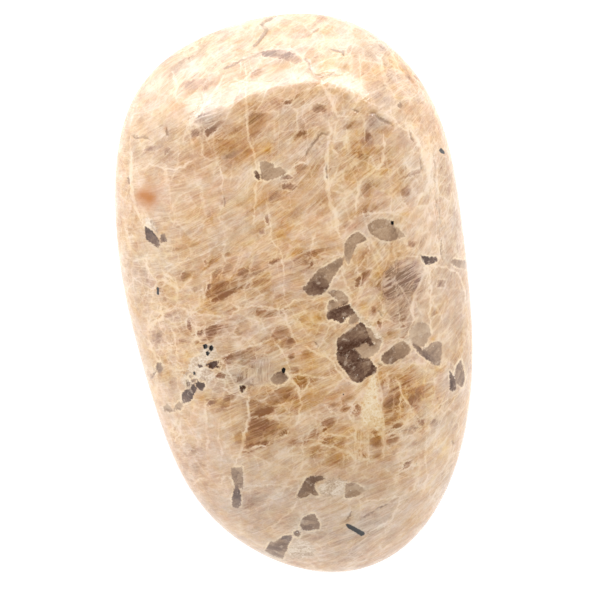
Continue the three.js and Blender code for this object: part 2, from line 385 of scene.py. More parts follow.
    (0.3, 0.2, [(384, 400), (381, 402), (382, 396), (390, 392), (398, 391), (398, 398), (390, 403)]),
    (0.85, 0.1, [(396, 428), (391, 430), (394, 425), (402, 422), (404, 427)]),
    (0.6, 0.0, [(409, 403), (407, 400), (408, 396), (413, 390), (422, 385), (438, 383), (437, 391),
                (430, 397), (421, 400), (416, 407), (411, 409)]),
    (0.35, 0.0, [(402, 388), (399, 380), (404, 377), (416, 374), (428, 372), (418, 380), (406, 391)]),
    (0.75, 0.3, [(421, 422), (418, 420), (424, 420), (425, 428), (420, 427)]),
    (0.6, 0.2, [(421, 430), (418, 433), (424, 430), (428, 434), (422, 436)]),
    (0.6, 0.6, [(434, 424), (430, 430), (430, 424), (433, 419), (439, 417), (440, 422), (436, 427)]),
    (0.85, 0.1, [(392, 443), (386, 445), (388, 439), (392, 435), (398, 436), (400, 440), (396, 444),
                 (390, 448)]),
    (0.4, 0.1, [(413, 444), (410, 449), (412, 442), (418, 440), (417, 445)]),
    (0.65, 0.1, [(392, 454), (390, 455), (396, 449), (399, 451), (394, 455)]),
    (1.15, 0.2, [(406, 466), (403, 471), (405, 464), (412, 461), (410, 467)]),
    (0.6, 0.1, [(224, 407), (221, 408), (222, 404), (230, 404), (229, 408)]),
    (0.8, 0.3, [(230, 400), (221, 403), (224, 398), (231, 395), (238, 395), (235, 400), (227, 403)]),
    (1.2, 0.2, [(211, 404), (205, 407), (210, 402), (218, 401), (214, 405)]),
    (0.4, 0.4, [(200, 466), (190, 468), (194, 464), (202, 463), (208, 466), (202, 469)]),
    (0.65, 0.6, [(192, 454), (184, 459), (188, 456), (192, 451), (199, 450), (195, 456)]),
    (0.45, 0.4, [(250, 504), (241, 510), (242, 494), (256, 492), (270, 495), (264, 505), (252, 510)]),
    (0.2, 0.1, [(313, 97), (309, 99), (310, 95), (316, 95), (320, 97), (315, 100)]),
    (0.65, 0.2, [(320, 109), (311, 112), (312, 106), (318, 105), (326, 107), (326, 113), (316, 114)]),
    (0.9, 0.1, [(287, 104), (283, 106), (286, 102), (293, 101), (292, 105)]),
    (0.5, 0.1, [(296, 94), (292, 96), (294, 92), (299, 93)]),
    (0.5, 0.2, [(332, 92), (328, 89), (336, 90), (348, 95), (357, 100), (350, 105), (340, 104)]),
    (0.1, 0.2, [(359, 107), (357, 110), (358, 103), (363, 103), (363, 109)]),
    (0.25, 0.1, [(347, 107), (343, 111), (345, 105), (351, 105), (350, 110)]),
    (0.8, 0.4, [(383, 87), (381, 86), (386, 86), (386, 89)]),
    (0.25, 0.8, [(370, 90), (367, 98), (369, 88), (375, 82), (381, 81), (386, 91), (393, 98), (396, 105),
                 (389, 116), (378, 112), (368, 110)]),
    (0.65, 0.2, [(407, 78), (404, 76), (409, 75), (410, 81)]),
    (0.9, 0.3, [(416, 79), (413, 76), (418, 76), (419, 82)]),
    (0.45, 0.4, [(185, 87), (184, 92), (185, 84), (195, 80), (209, 79), (208, 84), (196, 90)]),
    (0.35, 0.2, [(203, 90), (199, 92), (204, 87), (213, 82), (212, 86), (204, 93)]),
    (0.25, 0.9, [(206, 116), (198, 120), (194, 116), (202, 110), (212, 108), (216, 112), (210, 118)]),
    (0.9, 0.9, [(265, 55), (262, 57), (262, 53), (275, 50), (290, 53), (298, 56), (304, 62), (296, 65),
                (284, 60), (270, 58)]),
    (0.45, 0.2, [(253, 75), (251, 83), (251, 72), (262, 69), (266, 72), (258, 81)]),
    (0.3, 0.9, [(320, 22), (318, 24), (312, 14), (328, 17), (326, 22), (321, 26)]),
    (0.45, 0.9, [(383, 51), (380, 52), (379, 45), (384, 46), (387, 52)]),
]

# Blocks of feldspar that are streaked through and through, listed like the windows but told from them by a
# depth below 0. The last number turns their lamellae, in degrees.
streakedBlocks = [
    (-0.8, 0.75, [(388, 282), (383, 284), (383, 297), (388, 300), (396, 300), (404, 296), (412, 294),
                  (418, 289), (422, 284), (423, 275), (424, 267), (419, 262), (412, 259), (403, 261),
                  (396, 265), (389, 270), (384, 274)], 20),
    (-0.45, 0.5, [(392, 304), (386, 304), (396, 301), (408, 301), (408, 312), (403, 321), (395, 323),
                  (388, 314)], 10),
    (-0.45, 0.9, [(205, 376), (199, 380), (200, 370), (210, 369), (211, 378)], 0),
    (-0.5, 0.9, [(243, 378), (236, 384), (239, 373), (247, 368), (255, 362), (268, 358), (273, 366),
                 (274, 374), (271, 382), (260, 385), (248, 387)], -48),
]

# Sugary patches on the face, by name: how yellow they are from 0 to 1, and the outline
sugarPatches = {
    "chalk vein": (0.9, [(371, 374), (375, 372), (378, 384), (379, 396), (380, 408), (383, 420),
                         (386, 430), (378, 431), (369, 427), (361, 428), (361, 416), (363, 404),
                         (366, 392), (369, 382)]),
    "flake cap": (0.0, [(144, 227), (144, 220), (149, 218), (154, 223), (159, 231), (156, 234), (149, 229)]),
    "heart border": (0.3, [(345, 304), (351, 304), (358, 312), (366, 321), (376, 328), (384, 340),
                           (381, 346), (373, 343), (366, 330), (358, 323), (351, 313)]),
    "cluster": (0.1, [(190, 360), (199, 356), (204, 345), (213, 344), (217, 352), (216, 360), (206, 362),
                      (205, 368), (213, 372), (215, 378), (210, 384), (205, 384), (198, 381), (192, 380),
                      (188, 388), (184, 386), (180, 380), (186, 374), (189, 368)]),
    "feathers": (0.05, [(319, 487), (328, 481), (340, 479), (349, 483), (345, 488), (345, 496),
                        (334, 497), (322, 496), (316, 491)]),
    "foot feathers": (0.05, [(290, 547), (298, 541), (308, 543), (317, 549), (312, 557), (300, 560),
                             (291, 559), (286, 554)]),
    "grain border": (0.3, [(196, 376), (203, 378), (208, 383), (205, 390), (197, 394), (199, 388),
                           (196, 383)]),
}

# Black crystals on the face
blackCrystals = [
    [(346, 525), (349, 525), (364, 533), (365, 535), (362, 537), (347, 528)],  # the needle
    [(282, 370), (284, 368), (286, 370), (285, 373), (284, 375), (282, 373)],
    [(391, 222), (394, 222), (394, 225), (392, 226), (391, 225)],
    [(439, 151), (441, 149), (444, 152), (445, 155), (441, 154)],
    [(157, 288), (159, 289), (159, 296), (157, 295)],
    [(203, 346), (206, 345), (208, 347), (206, 350), (204, 350)],
    [(209, 348), (212, 346), (214, 349), (212, 352), (210, 351)],
    [(206, 353), (208, 352), (210, 354), (208, 357), (206, 355)],
    [(193, 373), (195, 373), (196, 376), (194, 376)],
    [(416, 464), (417, 464), (417, 466), (416, 466)],
    [(343, 394), (344, 394), (344, 396), (343, 396)],
]

# Cream seams on the face: half width in pixels, and the line, which tapers at its ends
creamSeams = [
    (0.8, [(431, 140), (432, 170), (433, 204), (437, 232), (440, 262)]),
    (1.0, [(244, 60), (247, 82), (246, 98), (247, 112), (247, 128), (249, 142), (253, 152), (256, 162),
           (257, 182), (255, 200), (254, 215), (255, 232)]),
    (0.9, [(265, 197), (270, 215), (271, 240), (278, 248), (282, 256), (283, 266), (284, 278), (284, 302)]),
    (1.5, [(321, 79), (323, 86), (326, 92), (331, 101), (335, 109), (338, 117), (350, 118)]),
    (2.0, [(327, 119), (331, 130), (329, 142), (327, 155), (326, 175), (328, 190), (331, 205), (337, 217),
           (337, 232), (342, 240)]),
    (1.5, [(383, 133), (384, 146), (383, 156), (383, 162), (379, 169), (371, 174), (363, 179), (359, 187),
           (358, 197), (357, 212), (357, 220)]),
    (1.0, [(225, 301), (232, 305), (240, 309), (250, 308), (260, 307), (272, 309), (281, 311), (287, 307),
           (293, 302), (303, 300), (318, 300)]),
    (1.3, [(281, 311), (286, 315), (286, 322), (290, 328), (291, 335), (295, 341)]),
    (1.4, [(303, 346), (312, 351), (320, 356), (330, 360), (335, 366), (340, 375), (346, 381), (358, 386)]),
    (1.3, [(291, 379), (297, 388), (301, 396), (301, 406), (299, 418), (296, 428)]),
    (0.9, [(283, 374), (290, 376), (305, 376), (320, 379), (335, 378)]),
    (0.8, [(310, 378), (307, 390), (302, 398)]),
    (1.7, [(249, 395), (248, 408), (250, 419), (247, 427), (245, 436), (243, 444), (241, 452), (238, 460),
           (234, 467)]),
    (1.6, [(130, 136), (131, 158), (131, 182), (133, 200), (136, 210), (141, 219), (145, 226)]),
    (1.0, [(148, 250), (147, 262), (148, 280)]),
    (1.6, [(159, 298), (161, 308), (162, 320), (155, 323), (149, 330), (148, 338), (151, 349), (156, 359),
           (164, 367), (175, 370), (187, 371)]),
    (1.1, [(167, 325), (175, 334), (176, 350), (178, 362), (184, 369)]),
    (1.0, [(220, 358), (227, 370), (232, 380), (236, 386)]),
    (1.5, [(377, 372), (379, 385), (382, 400), (382, 415), (385, 427), (383, 437), (384, 450), (383, 460)]),
    (1.2, [(396, 378), (399, 386), (402, 395), (407, 402), (411, 410), (416, 416), (421, 422)]),
    (1.0, [(400, 396), (400, 406), (401, 420)]),
    (0.9, [(355, 425), (356, 440), (355, 452), (357, 462)]),
    (1.3, [(402, 202), (407, 208), (400, 212), (390, 213), (372, 215), (357, 217)]),
    (2.4, [(409, 130), (415, 138), (420, 148), (425, 160), (428, 172), (430, 184), (424, 194), (418, 201)]),
    (1.0, [(396, 100), (389, 112), (396, 123), (404, 130), (411, 134)]),
    (0.9, [(368, 240), (369, 252), (362, 262), (354, 275)]),
    (0.9, [(437, 145), (436, 170), (438, 200), (441, 230), (445, 255)]),
    (1.6, [(426, 269), (421, 284), (415, 297), (412, 310), (414, 322)]),
    (1.1, [(424, 268), (434, 267), (446, 268), (458, 274), (464, 288), (466, 305)]),
    (1.1, [(431, 268), (430, 284), (431, 300), (429, 318), (432, 334)]),
    (1.0, [(360, 55), (361, 75), (362, 95), (354, 108), (350, 114)]),
    (1.6, [(375, 55), (381, 62), (383, 75), (388, 88), (396, 98)]),
    (1.0, [(220, 166), (222, 178), (222, 195), (224, 208)]),
    (1.6, [(226, 72), (222, 80), (214, 94), (208, 104), (201, 112), (192, 120), (191, 130)]),
    (1.1, [(171, 71), (175, 80), (178, 87), (174, 96)]),
    (0.9, [(244, 307), (230, 318), (214, 325), (198, 330)]),
    (0.9, [(164, 312), (180, 308), (197, 315), (215, 316)]),
    (0.9, [(220, 387), (232, 395), (248, 397)]),
    (1.4, [(221, 486), (222, 480), (228, 477), (232, 480), (233, 488)]),
    (0.8, [(193, 486), (200, 479), (210, 481)]),
    (0.9, [(245, 487), (268, 486), (292, 487)]),
    (1.1, [(298, 503), (291, 512), (280, 521), (271, 530)]),
    (1.2, [(300, 449), (310, 447), (319, 443), (322, 446), (331, 448), (341, 451), (350, 454), (352, 458),
           (361, 460), (371, 461)]),
    (0.9, [(343, 452), (344, 458), (343, 466)]),
    (0.9, [(318, 443), (321, 436), (330, 436), (338, 434)]),
    (0.8, [(304, 452), (303, 462), (301, 470)]),
    (0.8, [(313, 458), (319, 468), (316, 474)]),
    (0.9, [(345, 408), (352, 404), (356, 411), (354, 420), (346, 416), (343, 422)]),
    (0.9, [(404, 497), (397, 508), (393, 520), (378, 529), (366, 534)]),
    (1.0, [(419, 478), (414, 490), (404, 497), (380, 501), (360, 503)]),
    (1.0, [(427, 436), (426, 460), (427, 480), (420, 500)]),
    (1.3, [(311, 249), (313, 242), (316, 232)]),
    (1.3, [(140, 171), (150, 165), (160, 168), (170, 170), (180, 169), (187, 165), (194, 160), (203, 158)]),
    (0.9, [(203, 142), (202, 150), (203, 160), (210, 161), (218, 159)]),
    (0.8, [(289, 171), (296, 165), (302, 163), (309, 166)]),
    (1.2, [(160, 270), (164, 276), (171, 278), (176, 284)]),
    (0.9, [(165, 281), (163, 290), (166, 298), (173, 300)]),
    (1.0, [(179, 420), (181, 428), (180, 436), (174, 443)]),
    (1.1, [(205, 402), (206, 420), (208, 440), (206, 455)]),
    (0.9, [(220, 420), (218, 440), (222, 455), (221, 468)]),
    (1.3, [(203, 285), (202, 291), (205, 298), (204, 304)]),
    (1.0, [(212, 275), (211, 283), (205, 286)]),
    (1.2, [(390, 262), (397, 260), (405, 258), (415, 257), (421, 259)]),
    (0.9, [(394, 243), (393, 252), (397, 257)]),
    (0.8, [(394, 226), (397, 233), (399, 239)]),
    (0.9, [(234, 488), (237, 492), (240, 497)]),
    (0.9, [(394, 410), (402, 414), (412, 413)]),
    (0.8, [(387, 448), (396, 445), (404, 441), (412, 436)]),
    (0.9, [(361, 428), (361, 440), (360, 452), (362, 461)]),
    (0.9, [(369, 430), (368, 444), (369, 456), (367, 470)]),
    (0.8, [(303, 430), (302, 444), (304, 458)]),
    (0.8, [(322, 404), (331, 412), (343, 416), (356, 414)]),
    (0.8, [(310, 412), (318, 424), (316, 436)]),
    (0.8, [(388, 370), (389, 382), (390, 391)]),
    (0.8, [(404, 430), (398, 436), (388, 440)]),
    (0.8, [(160, 270), (172, 265), (186, 262), (200, 256), (214, 249), (226, 244)]),
    (0.8, [(176, 284), (178, 296), (176, 308), (180, 320)]),
    (0.8, [(190, 305), (192, 318), (197, 330), (196, 342)]),
    (0.8, [(222, 254), (226, 264), (222, 274), (214, 282)]),
    (0.8, [(162, 340), (170, 344), (176, 352)]),
    (0.9, [(212, 363), (226, 356), (242, 350), (258, 346), (272, 340)]),
    (0.8, [(272, 340), (281, 351), (288, 362), (290, 372)]),
    (0.8, [(345, 256), (356, 266), (362, 280), (360, 294)]),
    (0.8, [(372, 292), (380, 300), (384, 312), (382, 326)]),
    (0.8, [(412, 322), (410, 330), (405, 338), (398, 343)]),
    (0.8, [(360, 318), (372, 322), (384, 320), (396, 324)]),
    (0.8, [(340, 268), (344, 280), (350, 292), (357, 300)]),
]

# Dark hairlines on the face: half width in pixels, and the line
darkCracks = [
    (1.8, [(277, 16), (271, 20), (264, 23), (262, 26), (267, 31), (264, 36), (259, 42), (253, 48)]),
    (1.1, [(319, 29), (313, 33), (307, 37)]),
    (1.2, [(331, 50), (338, 52), (343, 52), (345, 57)]),
    (0.8, [(303, 60), (309, 63), (311, 71), (315, 77), (320, 78), (327, 76), (334, 75)]),
    (1.1, [(222, 70), (231, 67), (241, 61), (256, 56), (262, 53)]),
    (1.6, [(369, 114), (375, 114), (379, 119), (384, 122), (392, 126)]),
    (1.0, [(410, 134), (413, 142)]),
    (0.38, [(434, 156), (436, 170), (435, 184)]),
    (0.32, [(437, 190), (436, 199), (438, 212)]),
    (0.38, [(439, 206), (441, 226), (440, 238)]),
    (0.32, [(442, 242), (441, 251), (443, 262)]),
    (1.0, [(420, 160), (422, 171)]),
    (0.9, [(131, 136), (136, 139), (143, 138), (150, 140)]),
    (1.4, [(128, 177), (129, 185)]),
    (0.8, [(402, 433), (411, 430), (419, 428)]),
    (0.9, [(453, 441), (453, 446)]),
    (0.8, [(363, 519), (373, 513), (381, 508), (390, 505)]),
    (1.4, [(305, 157), (309, 150), (314, 143), (318, 140), (319, 136), (324, 134), (329, 136)]),
    (0.8, [(327, 165), (327, 172), (328, 180)]),
    (0.9, [(297, 161), (300, 160)]),
    (0.9, [(379, 312), (383, 318)]),
    (0.9, [(347, 520), (352, 513)]),
    (1.2, [(167, 129), (168, 137)]),
    (1.5, [(400, 103), (400, 109)]),
    (1.1, [(353, 111), (360, 113)]),
    (0.8, [(315, 343), (318, 347)]),
    (0.9, [(187, 381), (188, 388)]),
    (1.1, [(156, 372), (151, 380)]),
    (1.1, [(250, 386), (253, 386)]),
    (0.9, [(224, 198), (225, 207)]),
    (0.9, [(166, 411), (172, 412)]),
    (1.0, [(378, 365), (381, 366)]),
    (0.8, [(404, 502), (408, 501)]),
]

# Soft tints on the face: middle, half length, half height, tilt in degrees up to the right, strength
softTints = {
    # Two depth tints are painted shade: the band across the crown just above the shoulder (288, 53), laid
    # over the grey-brown band that is there, and the long one down the right rim (456, 290).
    "depth": [
        (242, 280, 34, 13, 15, 0.2), (262, 425, 30, 24, 15, 0.3), (396, 402, 28, 22, 20, 0.2),
        (264, 425, 20, 14, 35, 0.35), (236, 284, 26, 8, 22, 0.3), (250, 262, 30, 10, 22, 0.25),
        (215, 225, 30, 8, 25, 0.3), (300, 122, 16, 7, 20, 0.3), (284, 143, 22, 8, 20, 0.3),
        (213, 150, 12, 11, 0, 0.3), (206, 132, 11, 4, 5, 0.7), (206, 116, 7, 3, 0, 0.5),
        (279, 104, 16, 7, 20, 0.3), (228, 134, 28, 18, 12, 0.3), (370, 140, 9, 8, 20, 0.25),
        (345, 170, 12, 8, 25, 0.35), (310, 256, 26, 10, 25, 0.35), (300, 240, 26, 8, 22, 0.25),
        (300, 205, 30, 9, 22, 0.1), (350, 150, 16, 8, 25, 0.35), (330, 418, 22, 8, 28, 0.3),
        (418, 379, 22, 10, 15, 0.45), (318, 452, 26, 7, 20, 0.3), (430, 425, 10, 7, 20, 0.3),
        (200, 350, 34, 40, 0, 0.15), (160, 337, 8, 8, 0, 0.3), (225, 330, 22, 9, 20, 0.3),
        (290, 345, 12, 12, 0, 0.25), (255, 355, 18, 6, 20, 0.2), (392, 305, 12, 8, 30, 0.25),
        (405, 285, 14, 8, 30, 0.25), (310, 440, 22, 6, 22, 0.3), (212, 215, 8, 6, 20, 0.3),
        (421, 122, 3, 3, 0, 0.3), (200, 335, 22, 8, 20, 0.15), (323, 326, 20, 14, 10, 0.2),
        (288, 53, 50, 8, 0, 0.5), (300, 34, 40, 7, 0, 0.3), (345, 60, 24, 14, 0, 0.3),
        (230, 66, 24, 12, 20, 0.25), (318, 126, 16, 12, 10, 0.4), (404, 404, 24, 20, 20, 0.4),
        (166, 284, 20, 20, 0, 0.35), (190, 318, 22, 12, 0, 0.25), (205, 372, 30, 14, 0, 0.2),
        (348, 323, 7, 5, 0, 0.7), (389, 384, 5, 6, 0, 0.2), (442, 190, 9, 45, 0, 0.3),
        (150, 272, 16, 10, 0, 0.35), (202, 330, 16, 16, 0, 0.3), (226, 378, 14, 14, 0, 0.3),
        (404, 414, 22, 12, 0, 0.35), (462, 370, 12, 16, 0, 0.3), (270, 80, 24, 5, 10, 0.25),
        (300, 396, 12, 10, 0, 0.2), (214, 224, 24, 10, 0, 0.15), (286, 532, 22, 12, 0, 0.2),
        (358, 540, 20, 16, 0, 0.18), (204, 398, 6, 5, 0, 0.5), (456, 290, 13, 130, 0, 0.25),
        (190, 385, 20, 18, 0, 0.25), (160, 375, 14, 14, 0, 0.2), (400, 300, 50, 30, 0, 0.12),
    ],
    "gold": [
        (268, 150, 7, 4, 20, 0.85), (332, 148, 2, 6, 0, 0.8), (404, 215, 6, 2, 0, 0.6),
        (378, 262, 3, 20, 4, 0.5), (327, 287, 4, 4, 0, 0.7), (302, 281, 4, 4, 0, 0.5),
        (321, 301, 7, 5, 0, 0.9), (410, 420, 20, 14, 20, 0.4), (330, 436, 40, 12, 15, 0.4),
        (322, 226, 12, 10, 0, 0.4), (258, 78, 20, 6, 10, 0.3), (364, 307, 4, 4, 0, 0.9),
        (373, 392, 2, 2, 0, 1.0), (364, 405, 3, 5, 0, 0.7), (439, 370, 6, 3, 15, 0.8),
        (168, 375, 10, 5, 10, 0.75), (204, 397, 6, 5, 0, 0.95), (187, 359, 4, 5, 0, 0.6),
        (186, 277, 7, 5, 0, 0.5), (122, 237, 6, 5, 0, 0.5), (296, 283, 4, 4, 0, 0.6),
        (311, 368, 8, 5, 0, 0.5), (300, 384, 7, 7, 0, 0.6), (318, 326, 27, 20, 10, 0.6),
        (314, 360, 12, 6, 10, 0.4), (422, 392, 16, 10, 28, 0.6), (378, 440, 6, 10, 0, 0.6),
        (334, 460, 11, 4, 22, 0.6), (200, 280, 14, 5, 20, 0.2), (382, 500, 12, 5, 25, 0.2),
        (400, 255, 24, 8, 10, 0.2), (197, 345, 16, 8, 0, 0.2), (433, 340, 2, 2, 0, 0.9),
        (355, 180, 3, 10, 0, 0.3), (393, 88, 3, 3, 0, 0.6), (395, 65, 4, 6, 0, 0.3),
        (255, 200, 10, 20, 0, 0.15), (316, 254, 9, 5, 20, 0.5), (239, 438, 5, 6, 0, 0.5),
        (340, 446, 46, 20, 10, 0.4), (420, 398, 18, 28, 0, 0.3), (290, 400, 34, 24, 20, 0.3),
        (170, 258, 24, 10, 10, 0.5), (230, 150, 22, 12, 20, 0.3), (262, 352, 14, 10, 0, 0.3),
        (183, 300, 20, 14, 0, 0.3), (405, 330, 14, 10, 0, 0.3), (330, 250, 20, 10, 20, 0.25),
    ],
    "rose": [
        (150, 196, 15, 20, 0, 0.6), (187, 195, 34, 20, 10, 0.45), (192, 455, 20, 26, -30, 0.6),
        (205, 485, 20, 16, -30, 0.5), (225, 515, 26, 12, -25, 0.45), (300, 520, 90, 45, 0, 0.5),
        (262, 66, 30, 10, 8, 0.45), (165, 98, 20, 12, 0, 0.4), (240, 410, 12, 30, -8, 0.2),
        (330, 562, 40, 8, 0, 0.5), (370, 552, 32, 12, -20, 0.5), (395, 530, 34, 16, -35, 0.45),
        (432, 490, 16, 30, -25, 0.4), (157, 330, 18, 22, 0, 0.25), (300, 470, 30, 10, 10, 0.3),
        (350, 475, 30, 12, 10, 0.25), (337, 408, 12, 7, 20, 0.3), (425, 225, 14, 60, 0, 0.25),
        (455, 285, 12, 30, 0, 0.25), (285, 185, 14, 10, 0, 0.4), (350, 90, 16, 14, 0, 0.3),
        (230, 300, 40, 20, 20, 0.2), (280, 62, 20, 7, 5, 0.4),
    ],
    "veined": [
        (190, 330, 40, 60, 0, 0.9), (262, 325, 36, 22, 0, 0.8), (320, 320, 30, 26, 0, 0.8),
        (385, 415, 40, 34, 0, 0.8), (400, 235, 30, 40, 0, 0.7), (330, 110, 24, 30, 0, 0.6),
        (300, 60, 60, 40, 0, 0.6), (430, 180, 16, 60, 0, 0.6), (330, 440, 50, 20, 10, 0.7),
        (140, 290, 24, 50, 0, 0.6), (395, 345, 40, 24, 0, 0.7), (300, 480, 60, 20, 0, 0.5),
        (380, 90, 26, 40, 0, 0.6), (350, 300, 16, 40, 0, 0.7), (335, 170, 10, 60, 0, 0.6),
        (440, 400, 20, 60, 0, 0.5),
    ],
    "calm": [
        (462, 320, 12, 40, 0, 0.9), (455, 282, 12, 9, 0, 0.6), (250, 130, 34, 12, 20, 0.4),
        (285, 34, 60, 12, 0, 0.5), (230, 505, 30, 22, -30, 0.6), (200, 470, 20, 22, -30, 0.4),
        (262, 520, 30, 16, 0, 0.5), (400, 520, 30, 20, -30, 0.5), (130, 330, 12, 60, -10, 0.6),
        (145, 180, 20, 30, 0, 0.4), (280, 500, 24, 12, 0, 0.4),
    ],
    "ember": [
        (143, 196, 5, 4, 0, 0.9), (149.5, 199, 5, 4, 0, 0.9), (147, 198, 11, 9, 0, 0.6),
        (147, 205, 8, 6, 0, 0.3), (152, 189, 8, 11, 20, 0.2), (166, 130, 2, 3, 0, 0.5),
        (212, 150, 12, 9, 10, 0.12), (238, 146, 30, 14, 20, 0.07),
    ],
    # The milk tints at (307, 24), (338, 34), (246, 28), (190, 58) and (384, 54) are painted highlight,
    # whitening the crown's rim where the light washes it out.
    "milk": [
        (159, 97, 12, 10, 0, 0.5), (212, 118, 14, 7, 25, 0.2), (372, 410, 11, 24, 5, 0.55),
        (362, 395, 12, 16, 10, 0.35), (198, 352, 16, 12, 0, 0.3), (158, 240, 18, 22, 10, 0.4),
        (170, 385, 12, 10, 0, 0.25), (294, 548, 12, 9, 0, 0.6), (331, 491, 16, 6, 0, 0.6),
        (318, 52, 18, 18, 0, 0.35), (338, 34, 18, 12, 0, 0.35), (307, 24, 10, 10, 0, 0.3),
        (432, 190, 5, 40, 0, 0.35), (175, 425, 12, 12, 0, 0.3), (213, 440, 12, 30, 0, 0.2),
        (330, 515, 26, 10, 0, 0.2), (300, 360, 20, 10, 0, 0.15), (395, 330, 8, 8, 0, 0.2),
        (375, 333, 4, 6, 0, 0.8), (354, 314, 6, 12, 0, 0.3), (361, 245, 5, 4, 0, 0.7),
        (306, 198, 18, 8, 20, 0.6), (168, 138, 16, 18, 0, 0.55), (394, 112, 12, 20, 0, 0.45),
        (368, 322, 8, 8, 0, 0.45), (246, 28, 26, 8, 15, 0.5), (190, 58, 20, 12, 30, 0.35),
        (384, 54, 20, 12, -30, 0.35), (396, 140, 8, 14, 0, 0.25), (227, 492, 5, 14, 0, 0.5),
        (374, 102, 4, 3, 0, 0.5),
    ],
    # The ash tints at (240, 30), (232, 36), (300, 26), (358, 40), (378, 52) and (190, 60) are painted
    # highlight that cools the washed-out crown's rim, and the long one down the right rim (452, 300) is
    # painted shade.
    "ash": [
        (150, 290, 20, 60, 0, 0.15), (410, 270, 30, 60, 0, 0.1), (360, 527, 15, 7, 25, 0.55),
        (205, 120, 14, 13, 15, 0.7), (148, 150, 16, 12, 0, 0.2), (275, 555, 14, 8, 20, 0.4),
        (305, 105, 20, 7, 15, 0.2), (280, 176, 16, 8, 0, 0.3), (228, 157, 14, 4, 20, 0.5),
        (352, 165, 12, 10, 0, 0.2), (376, 123, 12, 9, 0, 0.45), (410, 168, 10, 26, 0, 0.25),
        (400, 300, 16, 22, 0, 0.2), (421, 336, 10, 10, 0, 0.3), (380, 98, 17, 17, 0, 0.3),
        (338, 296, 9, 5, 0, 0.5), (375, 341, 7, 6, 0, 0.35), (256, 373, 28, 13.5, 4, 0.85),
        (380, 525, 34, 14, 20, 0.2), (310, 520, 90, 40, 0, 0.4), (350, 490, 26, 10, 0, 0.3),
        (190, 385, 22, 22, 0, 0.2), (205, 375, 7, 6, 0, 0.35), (140, 262, 14, 14, 0, 0.2),
        (443, 480, 8, 16, 0, 0.25), (120, 290, 6, 14, 0, 0.2), (262, 57, 24, 5, 8, 0.4),
        (392, 237, 14, 8, 0, 0.2), (310, 145, 14, 10, 20, 0.25), (168, 138, 18, 18, 0, 0.4),
        (394, 112, 12, 20, 0, 0.3), (240, 30, 26, 10, 15, 0.5), (378, 52, 20, 12, -30, 0.5),
        (190, 60, 24, 13, 35, 0.57), (290, 130, 110, 70, 0, 0.12), (232, 36, 34, 10, 25, 0.3),
        (300, 26, 50, 9, 0, 0.3), (358, 40, 24, 12, -30, 0.25), (150, 100, 12, 30, -20, 0.2),
        (134, 150, 12, 12, 0, 0.4), (370, 178, 8, 14, 0, 0.3), (322, 330, 16, 14, 0, 0.3),
        (437, 424, 6, 7, 0, 0.3), (389, 405, 7, 18, 0, 0.3), (160, 367, 5, 8, 0, 0.3),
        (154, 376, 5, 6, 0, 0.3), (452, 300, 14, 130, 0, 0.4), (403, 290, 18, 26, 0, 0.4),
        (165, 258, 22, 10, 10, 0.3),
    ],
}

backScatter = {
    "seed": 41,
    "patches": 15,  # how many there are of each kind
    "windows": 100,
    "sugars": 10,
    "crystals": 14,
    "seams": 48,
    "cracks": 14,
    "tints": {"depth": 34, "gold": 20, "rose": 18, "ember": 1, "milk": 16, "ash": 18, "veined": 14,
              "calm": 12},
}


def scatterFeatures():
    # the same kinds of features for the back, thrown at random inside the outline
    rng = np.random.default_rng(backScatter["seed"])

    def spot(margin):
        x, y = edgePoints(np.array([rng.random()]))
        out = math.sqrt(rng.random()) * margin
        right, down = x[0] * out / photo["pixel"], -y[0] * out / photo["pixel"]
        return photo["middle"][0] + right, photo["middle"][1] + down

    def blot(reach, corners, stretch, tilt):
        x, y = spot(0.97)
        tilt = math.radians(tilt)
        points = []
        for corner in range(corners):
            turn = 2 * math.pi * (corner + rng.uniform(-0.3, 0.3)) / corners
            out = reach * rng.uniform(0.7, 1.25)
            along, across = out * stretch * math.cos(turn), out * math.sin(turn)
            points.append((x + along * math.cos(tilt) + across * math.sin(tilt),
                           y - along * math.sin(tilt) + across * math.cos(tilt)))
        return points

    def wander(steps, stride, heading):
        x, y = spot(0.9)
        points = [(x, y)]
        for step in range(steps):
            heading += rng.normal(0, 0.35)
            x, y = x + stride * math.cos(heading), y + stride * math.sin(heading)
            points.append((x, y))
        return points

    s = backScatter
    patches = {}
    for i in range(s["patches"]):
        outline = blot(rng.uniform(4, 14), 9, rng.uniform(1.0, 2.4), rng.uniform(-30, 80))
        patches["back %d" % i] = (rng.uniform(0.1, 0.95), [outline[0], *outline])
    windows = []
    for i in range(s["windows"]):
        outline = blot(rng.uniform(2, 7), rng.integers(4, 7), rng.uniform(1.0, 2.6), rng.uniform(10, 50))
        windows.append((rng.uniform(0.35, 0.95), rng.uniform(0, 0.5), [outline[0], *outline]))
    sugars = {}
    for i in range(s["sugars"]):
        outline = blot(rng.uniform(3, 7), 9, rng.uniform(1.5, 3.0), rng.uniform(20, 100))
        sugars["back %d" % i] = (rng.uniform(0.1, 0.9), outline)
    crystals = [blot(rng.uniform(1.0, 2.4), 6, 1.3, rng.uniform(0, 90)) for i in range(s["crystals"])]
    seams = []
    for i in range(s["seams"]):
        seams.append((rng.uniform(0.8, 1.7), wander(rng.integers(3, 8), 13, rng.choice([1.5, -0.4]))))
    cracks = [(0.9, wander(4, 7, rng.uniform(0, 6))) for i in range(s["cracks"])]
    tints = {}
    for name, count in s["tints"].items():
        tints[name] = []
        for i in range(count):
            size = (rng.uniform(8, 26), rng.uniform(5, 12), rng.uniform(5, 35))
            tints[name].append((*spot(1.0), *size, rng.uniform(0.25, 0.6)))
    return patches, windows, sugars, crystals, seams, cracks, tints


# Fields over the skin

def cameraScale(points):
    # pixels to a millimetre for each point, more where it is nearer to the camera
    above = points[:, 2] - pebbleShape["girdleHeight"]
    return photo["distance"] / (photo["distance"] - above) / photo["pixel"]


